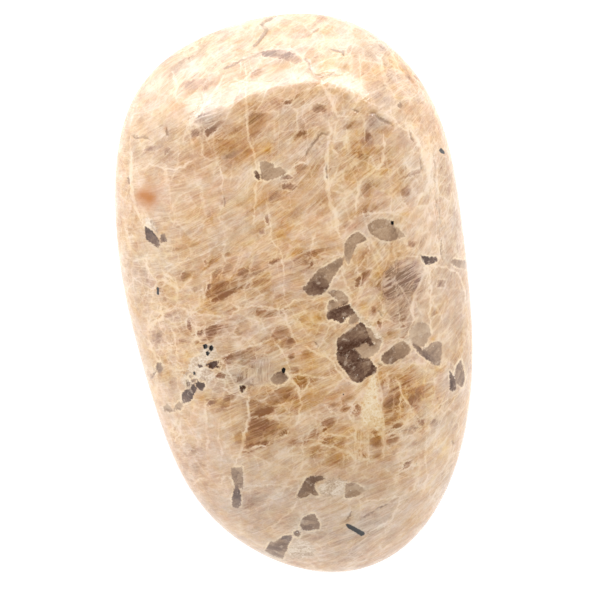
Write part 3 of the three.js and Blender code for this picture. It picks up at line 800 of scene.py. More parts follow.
def pixelsOf(points, scale):
    return photo["middle"][0] + points[:, 0] * scale, photo["middle"][1] - points[:, 1] * scale


def segmentDistance(a, b, x, y):
    dx, dy = b[0] - a[0], b[1] - a[1]
    share = np.clip(((x - a[0]) * dx + (y - a[1]) * dy) / max(dx * dx + dy * dy, 1e-9), 0, 1)
    return np.hypot(x - a[0] - share * dx, y - a[1] - share * dy), share


def nearCorners(corners, reach, x, y):
    low, high = corners.min(axis=0) - reach, corners.max(axis=0) + reach
    return (x > low[0]) & (x < high[0]) & (y > low[1]) & (y < high[1])


def blotDistance(points, x, y, reach):
    # pixels outside a closed outline, negative inside it
    corners = np.array(points, float)
    near = nearCorners(corners, reach, x, y)
    nx, ny = x[near], y[near]
    best = np.full(len(nx), float(reach))
    inside = np.zeros(len(nx), bool)
    for a, b in zip(corners, np.roll(corners, -1, axis=0)):
        best = np.minimum(best, segmentDistance(a, b, nx, ny)[0])
        if a[1] != b[1]:
            crossing = a[0] + (ny - a[1]) * (b[0] - a[0]) / (b[1] - a[1])
            inside ^= ((a[1] > ny) != (b[1] > ny)) & (nx < crossing)
    distance = np.full(len(x), float(reach))
    distance[near] = np.where(inside, -best, best)
    return distance


def lineSide(halfWidth, points, x, y, reach):
    # pixels to the left or, negative, to the right of a line, its half width there, and the distance to it
    corners = np.array(points, float)
    near = nearCorners(corners, reach, x, y)
    nx, ny = x[near], y[near]
    lengths = np.linalg.norm(np.diff(corners, axis=0), axis=1)
    starts = np.concatenate([[0], np.cumsum(lengths)])
    best, side, width = np.full(len(nx), float(reach)), np.ones(len(nx)), np.zeros(len(nx))
    for i, (a, b) in enumerate(zip(corners[:-1], corners[1:])):
        away, share = segmentDistance(a, b, nx, ny)
        along = (starts[i] + share * lengths[i]) / starts[-1]
        closer = away < best
        turn = (b[0] - a[0]) * (ny - a[1]) - (b[1] - a[1]) * (nx - a[0])
        taper = np.sqrt(np.clip(6 * np.minimum(along, 1 - along), 0, 1))
        best[closer] = away[closer]
        side[closer] = np.where(turn < 0, 1.0, -1.0)[closer]
        width[closer] = (halfWidth * taper)[closer]
    distance = np.full(len(x), float(reach))
    sides, widths = np.full(len(x), float(reach)), np.zeros(len(x))
    distance[near], sides[near], widths[near] = best, best * side, width
    return sides, widths, distance


def fadeFrom(start, corners, x, y):
    # 1 at the deepest place, down to 0 at the distance of the farthest corner
    farthest = max(math.dist(start, end) for end in corners)
    return 1 - np.clip(np.hypot(x - start[0], y - start[1]) / farthest, 0, 1) ** 1.6


def lay(fields, name, distance, **marks):
    # the nearest outline gives each point its distance and its own marks
    closer = distance < fields[name]
    fields[name][closer] = distance[closer]
    for mark, values in marks.items():
        fields[mark][closer] = np.broadcast_to(values, distance.shape)[closer]


def tintGlow(tints, x, y):
    rest = np.ones(len(x))
    for middleX, middleY, halfLength, halfHeight, tilt, strength in tints:
        turn = math.radians(tilt)
        dx, dy = x - middleX, middleY - y
        along = (dx * math.cos(turn) + dy * math.sin(turn)) / halfLength
        across = (dy * math.cos(turn) - dx * math.sin(turn)) / halfHeight
        rest *= 1 - strength * np.exp(-0.8 * (along ** 2 + across ** 2))
    return 1 - rest


fieldRules = {
    "reach": 24.0,  # pixels, how far from an outline or a line its distance is worked out
    "facePast": 5.0,  # millimetres below the girdle where the face's features end
    "backPast": 4.0,  # millimetres below the girdle where the back's are at their full strength
}


def featureFields(points):
    reach = fieldRules["reach"]
    above = points[:, 2] - pebbleShape["girdleHeight"]
    blots = clearWindows + streakedBlocks
    onFace = (quartzPatches, blots, sugarPatches, blackCrystals, creamSeams, darkCracks, softTints)
    sides = [
        (onFace, cameraScale(points), np.clip(1 + above / fieldRules["facePast"], 0, 1)),
        (scatterFeatures(), 1 / photo["pixel"], np.clip(-above / fieldRules["backPast"], 0, 1)),
    ]
    distances = ["quartz", "window", "sugar", "crystal", "seam", "crack"]
    fields = {name: np.full(len(points), reach) for name in distances}
    lineMarks = ["seamSide", "seamWidth", "crackSide", "crackWidth"]
    fields.update({name: np.full(len(points), -reach) for name in lineMarks})
    marks = ["smoke", "shade", "mauve", "swing", "yellow", *softTints]
    fields.update({name: np.zeros(len(points)) for name in marks})
    for (patches, windows, sugars, crystals, seams, cracks, tints), scale, weight in sides:
        x, y = pixelsOf(points, scale)
        away = (1 - weight) * reach
        for smoke, (start, *corners) in patches.values():
            fade = 0.6 + 0.4 * fadeFrom(start, corners, x, y)
            lay(fields, "quartz", blotDistance(corners, x, y, reach) + away, smoke=smoke * fade)
        for shade, mauve, (start, *corners), *swing in windows:
            distance = blotDistance(corners, x, y, reach)
            core = np.clip(distance / min(distance.min(), -1.0), 0, 1)
            fade = (0.55 + 0.45 * fadeFrom(start, corners, x, y)) * (0.8 + 0.2 * core)
            lay(fields, "window", distance + away, shade=shade * fade, mauve=mauve, swing=sum(swing))
        for yellow, corners in sugars.values():
            lay(fields, "sugar", blotDistance(corners, x, y, reach) + away, yellow=yellow)
        for corners in crystals:
            lay(fields, "crystal", blotDistance(corners, x, y, reach) + away)
        for name, lines in (("seam", seams), ("crack", cracks)):
            for halfWidth, corners in lines:
                sides, widths, distance = lineSide(halfWidth, corners, x, y, reach)
                widths = widths - np.maximum(distance - 5, 0) - away
                marks = {name + "Side": sides, name + "Width": widths}
                lay(fields, name, distance + away, **marks)
        for name in softTints:
            fields[name] = np.maximum(fields[name], tintGlow(tints[name], x, y) * weight)
    for name in distances + lineMarks:
        fields[name] *= photo["pixel"]
    return fields


grainShape = {
    "tilt": 30.0,  # degrees, of the lamellae, up to the right
    "dive": 0.35,  # how much their planes lean with depth
    # height, length, along, across and start of each
    "bends": [(0.9, 46.0, 0.8, 0.3, 1.0), (0.4, 23.0, -0.5, 0.9, 2.0)],
}


def grainPlaces(points):
    # along the lamellae, across them, and in depth, in millimetres
    g = grainShape
    turn = math.radians(g["tilt"])
    x, y, z = points[:, 0], points[:, 1], points[:, 2] - pebbleShape["girdleHeight"]
    along = x * math.cos(turn) + y * math.sin(turn)
    across = y * math.cos(turn) - x * math.sin(turn) + g["dive"] * z
    for height, length, goAlong, goAcross, start in g["bends"]:
        across = across + height * np.sin(2 * np.pi * (goAlong * along + goAcross * across) / length + start)
    return np.stack([along, across, z], axis=1)


# The shoulder where the face turns down towards the crown, in pixels
faceShoulder = {
    "line": [(172, 133), (197, 126), (212, 121), (232, 109), (250, 100), (275, 91), (305, 86), (330, 88),
             (350, 96), (368, 107), (390, 121), (408, 136), (421, 154), (428, 178), (428, 215)],
    "height": 0.5,  # millimetres, fading at both ends
    "inner": 8.0,  # how far its rise reaches over the face, in millimetres
    "outer": 4.0,
    "softness": 1.0,
    "reach": 300.0,  # pixels
    "fade": 4.0,  # millimetres above the girdle where it is at its full height
}


def shouldered(points):
    # lifts the face a little towards its shoulder, so that it stays level and then turns down
    s = faceShoulder
    above = points[:, 2] - pebbleShape["girdleHeight"]
    x, y = pixelsOf(points, cameraScale(points))
    sides, height, _ = lineSide(s["height"], s["line"], x, y, s["reach"])
    distance = sides * photo["pixel"]
    slope = np.where(distance > 0, s["outer"], s["inner"])
    rounded = np.sqrt(distance ** 2 + s["softness"] ** 2) - s["softness"]
    rise = height ** 2 / s["height"] * np.exp(-rounded / slope)
    lifted = points.copy()
    lifted[:, 2] += rise * np.clip(above / s["fade"], 0, 1)
    return lifted


relief = {
    # how deep each lies below the feldspar, and the width of its worn edge, in millimetres
    "quartz": (0.05, 0.5),
    "crystal": (0.04, 0.2),
    "crack": (0.12, 0.2),
    "crackSpread": 1.2,  # how far a crack is open, in widths of its edge
    "inPlan": 0.3,  # share of the push that goes sideways, towards the stone's middle
    "ground": 0.02,  # below this height nothing moves
}


def sunken(points, fields):
    # presses cracks and quartz a little into the polished skin
    depth = 0
    for name, start in (("quartz", 0), ("crystal", 0), ("crack", relief["crackSpread"])):
        deepest, edge = relief[name]
        depth = depth + deepest * np.clip(start - fields[name] / edge, 0, 1)
    inward = np.array([0, 0, pebbleShape["girdleHeight"]]) - points
    inward[:, :2] *= relief["inPlan"]
    inward /= np.linalg.norm(inward, axis=1)[:, None]
    grounded = points[:, 2, None] < relief["ground"]
    return np.where(grounded, points, points + inward * depth[:, None])


def fitted(points):
    # the finer skin is brought to the frame's own box
    low, high = points.min(axis=0), points.max(axis=0)
    cadLow, cadHigh = np.array(lowCorner), np.array(highCorner)
    return cadLow + (points - low) / (high - low) * (cadHigh - cadLow)


def makePebble():
    points, faces = makeSkin()
    fields = featureFields(points)
    grain = grainPlaces(points)
    mesh = bpy.data.meshes.new("feldspar pebble")
    shaped = fitted(shouldered(sunken(points, fields)))
    mesh.from_pydata(shaped.tolist(), [], faces.tolist())
    for name, values in fields.items():
        if name in ("seam", "crack"):
            continue  # the shader draws lines from their side and width
        mesh.attributes.new(name, "FLOAT", "POINT").data.foreach_set("value", values.astype(np.float32))
    vectors = mesh.attributes.new("grain", "FLOAT_VECTOR", "POINT")
    vectors.data.foreach_set("vector", grain.astype(np.float32).ravel())
    mesh.polygons.foreach_set("use_smooth", [True] * len(mesh.polygons))
    mesh.update()
    piece = bpy.data.objects.new("feldspar_pebble", mesh)
    bpy.context.scene.collection.objects.link(piece)
    return piece


pebble = makePebble()
print("stage: pebble made,", len(pebble.data.polygons), "triangles")


# Nodes

def feed(tree, socket, value):
    if isinstance(value, bpy.types.NodeSocket):
        tree.links.new(value, socket)
    else:
        socket.default_value = value


def place(tree, kind, inputs=None, **settings):
    node = tree.nodes.new(kind)
    for name, value in settings.items():
        setattr(node, name, value)
    for name, value in (inputs or {}).items():
        feed(tree, node.inputs[name], value)
    return node


def calc(tree, operation, *values):
    node = place(tree, "ShaderNodeMath", operation=operation)
    for socket, value in zip(node.inputs, values):
        feed(tree, socket, value)
    return node.outputs[0]


def spread(tree, value, low, high, toLow=0.0, toHigh=1.0):
    # a soft step from low to high
    inputs = {"Value": value, "From Min": low, "From Max": high, "To Min": toLow, "To Max": toHigh}
    return place(tree, "ShaderNodeMapRange", inputs, interpolation_type="SMOOTHSTEP").outputs["Result"]


def blend(tree, amount, first, second, way="MIX"):
    node = place(tree, "ShaderNodeMix", data_type="RGBA", blend_type=way)
    feed(tree, node.inputs[0], amount)
    feed(tree, node.inputs[6], first)
    feed(tree, node.inputs[7], second)
    return node.outputs[2]


def vectorCalc(tree, operation, *values):
    node = place(tree, "ShaderNodeVectorMath", operation=operation)
    for socket, value in zip(node.inputs, values):
        feed(tree, socket, value)
    return node.outputs[0]


def noise(tree, vector, scale, detail=2.0, roughness=0.5, output="Fac"):
    inputs = {"Vector": vector, "Scale": scale, "Detail": detail, "Roughness": roughness}
    return place(tree, "ShaderNodeTexNoise", inputs).outputs[output]


def centred(tree, value):
    # from around a half to around zero
    return calc(tree, "SUBTRACT", value, 0.5)


def drift(tree, vector, scale, detail, roughness, reach):
    # moves a place about by noise, reach being how far it goes each way
    swirl = noise(tree, vector, scale, detail, roughness, "Color")
    swirl = vectorCalc(tree, "SUBTRACT", swirl, (0.5, 0.5, 0.5))
    return vectorCalc(tree, "MULTIPLY", swirl, reach)


def attribute(tree, name, output="Fac"):
    return place(tree, "ShaderNodeAttribute", attribute_name=name).outputs[output]


studioLight = {
    "level": 1.26,  # how bright a white surface on the face is lit
    "sheen": 0.03,  # what the polish adds to every colour
}


def paint(red, green, blue):
    # a colour as it looks under the studio's light, from 0 to 255
    channels = []
    for value in (red, green, blue):
        share = value / 255
        linear = share / 12.92 if share <= 0.04045 else ((share + 0.055) / 1.055) ** 2.4
        channels.append(max(linear - studioLight["sheen"], 0) / studioLight["level"])
    return (*channels, 1.0)


def newGroup(name, inputs, outputs):
    tree = bpy.data.node_groups.new(name, "ShaderNodeTree")
    for socket, value in inputs.items():
        kind = "NodeSocketVector" if value is None else "NodeSocketFloat"
        made = tree.interface.new_socket(socket, in_out="INPUT", socket_type=kind)
        if value is not None:
            made.default_value = value
    for socket in outputs:
        tree.interface.new_socket(socket, in_out="OUTPUT", socket_type="NodeSocketFloat")
    return tree, tree.nodes.new("NodeGroupInput").outputs, tree.nodes.new("NodeGroupOutput").inputs


def edgeLine(tree, distance, away):
    # a soft line round an outline, at a distance from it in millimetres
    return spread(tree, calc(tree, "ABSOLUTE", calc(tree, "SUBTRACT", distance, away)), 0.0, 0.16, 1.0, 0.0)


def useGroup(tree, group, inputs):
    return place(tree, "ShaderNodeGroup", inputs, node_tree=group).outputs


def stretchedPlace(tree, grain, tilt, length, width, shift):
    # the grain's places, turned and squeezed so that a pattern comes out long and thin
    angle = calc(tree, "RADIANS", tilt)
    turned = place(tree, "ShaderNodeVectorRotate", {"Vector": grain, "Angle": angle}, rotation_type="Z_AXIS")
    across = calc(tree, "DIVIDE", 1.0, width)
    along = calc(tree, "DIVIDE", 1.0, length)
    deep = calc(tree, "MULTIPLY", along, 2.0)
    scale = place(tree, "ShaderNodeCombineXYZ", {"X": along, "Y": across, "Z": deep})
    moved = place(tree, "ShaderNodeCombineXYZ", {"X": shift, "Y": shift, "Z": shift}).outputs[0]
    return vectorCalc(tree, "ADD", vectorCalc(tree, "MULTIPLY", turned.outputs[0], scale.outputs[0]), moved)


placeSockets = ("Grain", "Tilt", "Length", "Width", "Shift")


def bandGroup():
    # cream bands that lie along the grain, and the thin threads between them
    tree, inside, out = newGroup(
        "lamella bands",
        {"Grain": None, "Tilt": 0.0, "Length": 6.0, "Width": 0.8, "Low": 0.45, "High": 0.6, "Thin": 0.02,
         "Shift": 0.0},
        ["Bands", "Threads"],
    )
    spot = stretchedPlace(tree, *(inside[name] for name in placeSockets))
    wave = noise(tree, spot, 1.0, 1.0, 0.4)
    middle = calc(tree, "ABSOLUTE", centred(tree, wave))
    feed(tree, out["Bands"], spread(tree, wave, inside["Low"], inside["High"]))
    feed(tree, out["Threads"], spread(tree, middle, 0.0, inside["Thin"], 1.0, 0.0))
    return tree


def cellGroup():
    # crystal blocks: their edges, a fall of shade along each, and two random values for each
    tree, inside, out = newGroup(
        "crystal cells",
        {"Grain": None, "Tilt": 0.0, "Length": 3.0, "Width": 1.5, "Bend": 0.4, "Line": 0.08, "Shift": 0.0},
        ["Edges", "Veins", "Fall", "First", "Second"],
    )
    spot = stretchedPlace(tree, *(inside[name] for name in placeSockets))
    amount = place(tree, "ShaderNodeCombineXYZ", {axis: inside["Bend"] for axis in "XYZ"})
    bent = vectorCalc(tree, "ADD", spot, drift(tree, spot, 1.4, 2.0, 0.6, amount.outputs[0]))
    edge = place(tree, "ShaderNodeTexVoronoi", {"Vector": bent, "Scale": 1.0}, feature="DISTANCE_TO_EDGE")
    cell = place(tree, "ShaderNodeTexVoronoi", {"Vector": bent, "Scale": 1.0}, feature="F1")
    random = place(tree, "ShaderNodeSeparateColor", {"Color": cell.outputs["Color"]}).outputs
    offset = vectorCalc(tree, "SUBTRACT", bent, cell.outputs["Position"])
    split = place(tree, "ShaderNodeSeparateXYZ", {"Vector": offset}).outputs
    feed(tree, out["Edges"], spread(tree, edge.outputs["Distance"], 0.0, inside["Line"], 1.0, 0.0))
    wide = calc(tree, "MULTIPLY", inside["Line"], 5.0)
    feed(tree, out["Veins"], spread(tree, edge.outputs["Distance"], 0.0, wide, 1.0, 0.0))
    slope = calc(tree, "MULTIPLY_ADD", split["Y"], -0.5, split["X"])
    feed(tree, out["Fall"], spread(tree, slope, -0.6, 0.5, 1.0, 0.0))
    feed(tree, out["First"], random[0])
    feed(tree, out["Second"], random[1])
    return tree


feldsparLook = {
    # from the deepest windows to the creamiest lamellae, by share
    "honey": [(0.0, (146, 102, 70)), (0.15, (170, 127, 90)), (0.35, (194, 154, 115)), (0.5, (206, 170, 132)),
              (0.7, (219, 186, 150)), (0.85, (232, 204, 170)), (1.0, (244, 221, 188))],
    "rose": [(0.0, (150, 116, 98)), (0.15, (178, 145, 122)), (0.35, (203, 170, 146)), (0.5, (213, 180, 154)),
             (0.7, (223, 191, 166)), (0.85, (236, 209, 186)), (1.0, (246, 225, 204))],
    "ash": [(0.0, (134, 114, 98)), (0.3, (172, 152, 134)), (0.6, (200, 182, 162)), (1.0, (236, 220, 198))],
    "quartz": [(0.0, (206, 180, 152)), (0.3, (176, 148, 122)), (0.55, (142, 116, 97)), (0.8, (112, 88, 76)),
               (1.0, (86, 65, 55))],
    "sugar": [(0.0, (146, 124, 106)), (0.35, (192, 168, 146)), (0.7, (222, 202, 180)),
              (1.0, (244, 230, 212))],
    "chalk": [(0.0, (204, 154, 96)), (0.3, (230, 194, 144)), (0.6, (240, 216, 176)), (1.0, (248, 232, 202))],
    "rust": paint(214, 152, 78),
    "gold": [(0.0, (158, 104, 48)), (0.4, (196, 146, 80)), (0.7, (216, 176, 112)), (1.0, (238, 210, 158))],
    "ember": paint(183, 114, 2),
    "seam": paint(245, 220, 184),
    "crystal": (0.004, 0.003, 0.002, 1.0),
    "crack": paint(134, 106, 84),
    # painted glint: the white of small highlights
    "paintedGlint": paint(255, 246, 228),
}


def ramp(tree, value, stops):
    node = place(tree, "ShaderNodeValToRGB", {"Fac": value})
    elements = node.color_ramp.elements
    for element, (share, colour) in zip([elements[0], elements[1]], [stops[0], stops[-1]]):
        element.position = share
        element.color = paint(*colour)
    for share, colour in stops[1:-1]:
        elements.new(share).color = paint(*colour)
    return node.outputs["Color"]


def layered(tree, start, *layers):
    # adds layers to a value, each with its weight
    for value, weight in layers:
        start = calc(tree, "MULTIPLY_ADD", value, weight, start)
    return start


def towards(tree, start, *layers):
    # draws a value towards others, each by its own share
    for share, value in layers:
        node = place(tree, "ShaderNodeMix", data_type="FLOAT")
        for socket, given in zip(node.inputs, (share, None, start, value)):
            if given is not None:
                feed(tree, socket, given)
        start = node.outputs[0]
    return start


def product(tree, first, *others):
    for other in others:
        first = calc(tree, "MULTIPLY", first, other)
    return first


def feldsparMaterial():
    look = feldsparLook
    material = bpy.data.materials.new("polished feldspar")
    material.use_nodes = True
    tree = material.node_tree
    tree.nodes.clear()
    bands, cells = bandGroup(), cellGroup()
    grain = attribute(tree, "grain", "Vector")
    fields = ("depth", "rose", "milk", "ash", "veined", "calm")
    depth, rose, milk, ash, veined, calm = (attribute(tree, name) for name in fields)

    # seams and crystal edges are crinkled, and lamellae are nearly straight
    straight = vectorCalc(tree, "ADD", grain, drift(tree, grain, 0.1, 1.0, 0.5, (3.0, 2.0, 2.0)))
    crinkled = vectorCalc(tree, "ADD", straight, drift(tree, grain, 1.0, 3.0, 0.65, (1.0, 0.65, 0.65)))

    def bandsAt(tilt, length, width, low, high, thin, shift):
        values = zip(placeSockets, (straight, tilt, length, width, shift))
        return useGroup(tree, bands, {**dict(values), "Low": low, "High": high, "Thin": thin})

    def cellsAt(tilt, length, width, bend, line, shift):
        values = zip(placeSockets, (crinkled, tilt, length, width, shift))
        return useGroup(tree, cells, {**dict(values), "Bend": bend, "Line": line})

    ragged = centred(tree, noise(tree, grain, 2.2, 3.0, 0.6))
    grit = centred(tree, noise(tree, grain, 4.0, 3.0, 0.7))
    windowPlace = layered(tree, attribute(tree, "window"), (ragged, 0.7), (grit, 0.3))
    window = spread(tree, windowPlace, -0.22, 0.34, 1.0, 0.0)

    large = cellsAt(-5.0, 7.0, 3.0, 0.1, 0.05, 17.0)
    small = cellsAt(6.0, 3.0, 1.5, 0.1, 0.07, 1.0)
    upright = cellsAt(-62.0, 11.0, 4.0, 0.1, 0.03, 9.0)
    crumbs = cellsAt(12.0, 1.7, 1.0, 0.15, 0.1, 31.0)
    turn = layered(tree, -7.0, (large["Second"], 14.0), (window, attribute(tree, "swing")))
    counterTurn = calc(tree, "MULTIPLY_ADD", small["Second"], -20.0, 4.0)
    broad = bandsAt(turn, 8.0, 1.2, 0.35, 0.65, 0.045, 3.0)
    middling = bandsAt(turn, 8.0, 0.65, 0.42, 0.6, 0.06, 7.0)
    fine = bandsAt(counterTurn, 5.0, 0.4, 0.42, 0.6, 0.08, 19.0)
    hairs = bandsAt(turn, 9.0, 0.26, 0.42, 0.6, 0.1, 29.0)
    mottle = noise(tree, grain, 0.1, 3.0, 0.55)
    mist = noise(tree, grain, 0.45, 3.0, 0.6)
    haze = noise(tree, vectorCalc(tree, "ADD", grain, (31.0, 17.0, 5.0)), 0.3, 3.0, 0.6)
    wobble = centred(tree, noise(tree, grain, 0.9, 4.0, 0.65))

    def drawnLine(name, side, low, high):
        # a listed line that wanders a little to each side of its course, and thins out and swells
        course = calc(tree, "ABSOLUTE", layered(tree, attribute(tree, name + "Side"), (side, 1.0)))
        edge = calc(tree, "SUBTRACT", course, attribute(tree, name + "Width"))
        return spread(tree, layered(tree, edge, (ragged, 0.5), (grit, 0.3)), low, high, 1.0, 0.0)

    # share of cream, from deep brown windows at 0 to lamellae at 1
    lively = calc(tree, "MULTIPLY_ADD", rose, -0.75, 1.0)
    smallWindows = product(tree, spread(tree, small["First"], 0.5, 1.0), small["Fall"], lively)
    largeWindows = product(tree, spread(tree, large["First"], 0.5, 1.0), large["Fall"], lively)
    broken = spread(tree, mist, 0.4, 0.6)
    patchy = spread(tree, haze, 0.4, 0.6)
    deep = attribute(tree, "shade")
    streaks = layered(tree, 1.2, (broad["Bands"], -0.3), (middling["Bands"], -0.25), (grit, 0.5))
    shade = product(tree, window, deep, streaks)
    around = product(tree, spread(tree, attribute(tree, "window"), -0.2, 1.6, 1.0, 0.0), deep, streaks)
    closed = product(tree, spread(tree, shade, 0.0, 0.6, 1.0, 0.3), layered(tree, 1.0, (calm, -0.5)))
    block = spread(tree, shade, -0.3, 0.0, 1.0, 0.0)
    pattern = layered(
        tree, 0.0,
        (smallWindows, -0.17),
        (largeWindows, -0.15),
        (centred(tree, broad["Bands"]), 0.08),
        (centred(tree, middling["Bands"]), 0.07),
        (product(tree, small["Veins"], layered(tree, broken, (veined, 1.2))), 0.09),
        (product(tree, large["Veins"], layered(tree, patchy, (veined, 1.0))), 0.11),
        (product(tree, spread(tree, crumbs["First"], 0.5, 1.0), crumbs["Fall"], veined), -0.24),
    )
    # depth darkens and milk lightens the cream; among their tints are painted shade above the shoulder and
    # down the right rim, and painted highlight along the crown's rim
    cream = layered(
        tree, 0.465,
        (spread(tree, mottle, 0.3, 0.7, -0.5, 0.5), 0.2),
        (depth, -0.42),
        (milk, 0.3),
        (pattern, closed),
        (grit, 0.6),
        (calc(tree, "ABSOLUTE", shade), -0.38),
        (calc(tree, "ABSOLUTE", around), -0.27),
    )
    rim = product(tree, edgeLine(tree, windowPlace, 0.16), calc(tree, "MAXIMUM", deep, 0.0),
                  spread(tree, mist, 0.35, 0.55))
    net = product(tree, layered(tree, patchy, (veined, 0.9)), calc(tree, "SUBTRACT", 1.0, block))
    streaky = layered(tree, 1.0, (veined, -0.4))
    cream = towards(
        tree, cream,
        (product(tree, broad["Threads"], broken, closed, 0.45), 0.88),
        (product(tree, middling["Threads"], closed, streaky, 0.45), 0.88),
        (product(tree, fine["Threads"], patchy, closed, streaky, 0.45), 0.88),
        (product(tree, hairs["Threads"], broken, closed, 0.5), 0.92),
        (product(tree, crumbs["Edges"], veined, closed, 0.4), 0.9),
        (product(tree, small["Edges"], net, closed, 0.5), 0.88),
        (product(tree, large["Edges"], net, closed, 0.5), 0.92),
        (product(tree, upright["Edges"], patchy, closed, 0.55), 0.92),
        (product(tree, rim, 1.3), 0.9),
    )
    seam = drawnLine("seam", product(tree, wobble, 1.3), -0.14, 0.1)
    seam = product(tree, seam, spread(tree, haze, 0.25, 0.6, 0.35, 0.85))
    cream = towards(tree, cream, (seam, 0.94))

    # colour, which also varies a little in strength and in hue
    colour = ramp(tree, cream, look["honey"])
    pinkness = calc(tree, "MAXIMUM", product(tree, spread(tree, large["Second"], 0.4, 0.9), 0.5), rose)
    pinkness = calc(tree, "MAXIMUM", pinkness, product(tree, window, attribute(tree, "mauve")))
    colour = blend(tree, pinkness, colour, ramp(tree, cream, look["rose"]))
    # ash greys the colour; among its tints are painted highlight along the crown's rim and painted shade down
    # the right rim
    colour = blend(tree, layered(tree, 0.07, (ash, 0.93)), colour, ramp(tree, cream, look["ash"]))
    golden = product(tree, spread(tree, small["Second"], 0.8, 0.95), 0.25)
    gold = calc(tree, "MAXIMUM", golden, attribute(tree, "gold"))
    colour = blend(tree, product(tree, gold, 0.7), colour, ramp(tree, cream, look["gold"]))
    tone = centred(tree, noise(tree, stretchedPlace(tree, crinkled, 0.0, 8.0, 4.5, 41.0), 1.0, 5.0, 0.85))
    blush = noise(tree, stretchedPlace(tree, crinkled, 0.0, 2.5, 1.5, 57.0), 1.0, 4.0, 0.9)
    inks = {
        "Color": colour,
        "Hue": layered(tree, 0.472, (blush, 0.052)),
        "Saturation": layered(tree, 1.0, (tone, spread(tree, cream, 0.0, 0.5, 0.5, 1.4))),
    }
    colour = place(tree, "ShaderNodeHueSaturation", inks).outputs["Color"]
    colour = blend(tree, attribute(tree, "ember"), colour, look["ember"])

    # sugary patches, of grains too small to see
    sugarPlace = layered(tree, attribute(tree, "sugar"), (ragged, 1.8), (grit, 0.8))
    sugar = product(tree, spread(tree, sugarPlace, -0.2, 0.15, 1.0, 0.0), 0.8)
    grains = layered(tree, 0.6, (crumbs["Edges"], 0.25), (centred(tree, crumbs["First"]), -0.5),
                     (ragged, 0.9), (grit, 1.6))
    rust = product(tree, spread(tree, noise(tree, grain, 1.7, 1.0, 0.5), 0.62, 0.7), 0.6)
    chalk = blend(tree, rust, ramp(tree, grains, look["chalk"]), look["rust"])
    grains = blend(tree, attribute(tree, "yellow"), ramp(tree, grains, look["sugar"]), chalk)
    colour = blend(tree, sugar, colour, grains)

    # quartz and crystals, with ragged outlines
    quartzPlace = layered(tree, attribute(tree, "quartz"), (ragged, 0.45), (grit, 0.5))
    halo = product(tree, spread(tree, quartzPlace, 0.1, 0.9, 1.0, 0.0), spread(tree, mist, 0.35, 0.6), 0.35)
    colour = blend(tree, halo, colour, ramp(tree, layered(tree, cream, (lively, 0.2)), look["ash"]))
    lip = product(tree, edgeLine(tree, quartzPlace, 0.2), spread(tree, haze, 0.35, 0.6), 0.8)
    colour = blend(tree, lip, colour, look["seam"])
    quartz = spread(tree, quartzPlace, -0.06, 0.1, 1.0, 0.0)
    facets = cellsAt(30.0, 2.6, 1.6, 0.5, 0.03, 23.0)
    cloud = noise(tree, stretchedPlace(tree, crinkled, 0.0, 3.5, 2.0, 2.0), 1.0, 3.0, 0.5)
    unevenness = layered(
        tree, 0.0,
        (spread(tree, cloud, 0.3, 0.7, -0.5, 0.5), 0.7),
        (centred(tree, facets["First"]), 0.6),
        (facets["Edges"], -0.2),
        (grit, -0.9),
        (ragged, -0.9),
        (centred(tree, hairs["Bands"]), -0.1),
        (middling["Threads"], -0.07),
    )
    smoke = attribute(tree, "smoke")
    smoke = layered(tree, smoke, (unevenness, layered(tree, 0.25, (smoke, 0.25))))
    frosted = product(tree, spread(tree, wobble, 0.04, 0.16), spread(tree, mist, 0.4, 0.6), 0.5)
    frost = ramp(tree, layered(tree, 0.5, (grit, 1.6)), look["sugar"])
    glassy = blend(tree, frosted, ramp(tree, smoke, look["quartz"]), frost)
    colour = blend(tree, quartz, colour, glassy)
    # painted glints: small white highlights, most of them on the quartz
    speck = spread(tree, noise(tree, grain, 2.6, 1.0, 0.5), 0.76, 0.8)
    colour = blend(tree, product(tree, speck, layered(tree, 0.1, (quartz, 0.6))), colour, look["paintedGlint"])
    crack = drawnLine("crack", product(tree, wobble, 0.8), -0.12, 0.1)
    crack = product(tree, crack, spread(tree, mist, 0.3, 0.6, 0.2, 0.7))
    colour = blend(tree, crack, colour, look["crack"])
    crystalPlace = layered(tree, attribute(tree, "crystal"), (ragged, 0.2))
    crystal = spread(tree, crystalPlace, -0.03, 0.1, 1.0, 0.0)
    colour = blend(tree, crystal, colour, look["crystal"])

    # polish
    polish = layered(tree, 0.09, (spread(tree, mist, 0.3, 0.7), 0.06), (seam, 0.05))
    height = layered(tree, 0.0, (middling["Threads"], 0.3), (large["Edges"], 0.7), (quartz, -0.6))
    bump = place(tree, "ShaderNodeBump", {"Strength": 0.12, "Distance": 0.0001, "Height": height})
    shader = place(tree, "ShaderNodeBsdfPrincipled", {
        "Base Color": colour, "Roughness": polish, "Normal": bump.outputs["Normal"], "IOR": 1.53,
    })
    output = place(tree, "ShaderNodeOutputMaterial")
    tree.links.new(shader.outputs["BSDF"], output.inputs["Surface"])
    return material


pebble.data.materials.append(feldsparMaterial())
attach(pebble, "root")
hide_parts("pebble")
print("stage: feldspar polished")


# Studio

studio = {
    "floorSize": 3.0,  # metres
    "floorColour": (0.93, 0.93, 0.93, 1.0),
    "floorGlow": 0.3,
    "zenith": 0.2,  # overhead
    "sides": 1.68,
    "horizon": 2.45,
    "key": {"size": (0.6, 0.08), "distance": 0.5, "fromZenith": 52.0, "radiance": 8.4, "inPlan": 96.0},
    "back": {"size": (1.2, 0.4), "distance": 1.0, "fromZenith": 72.0, "radiance": 3.6, "inPlan": 102.0},
}


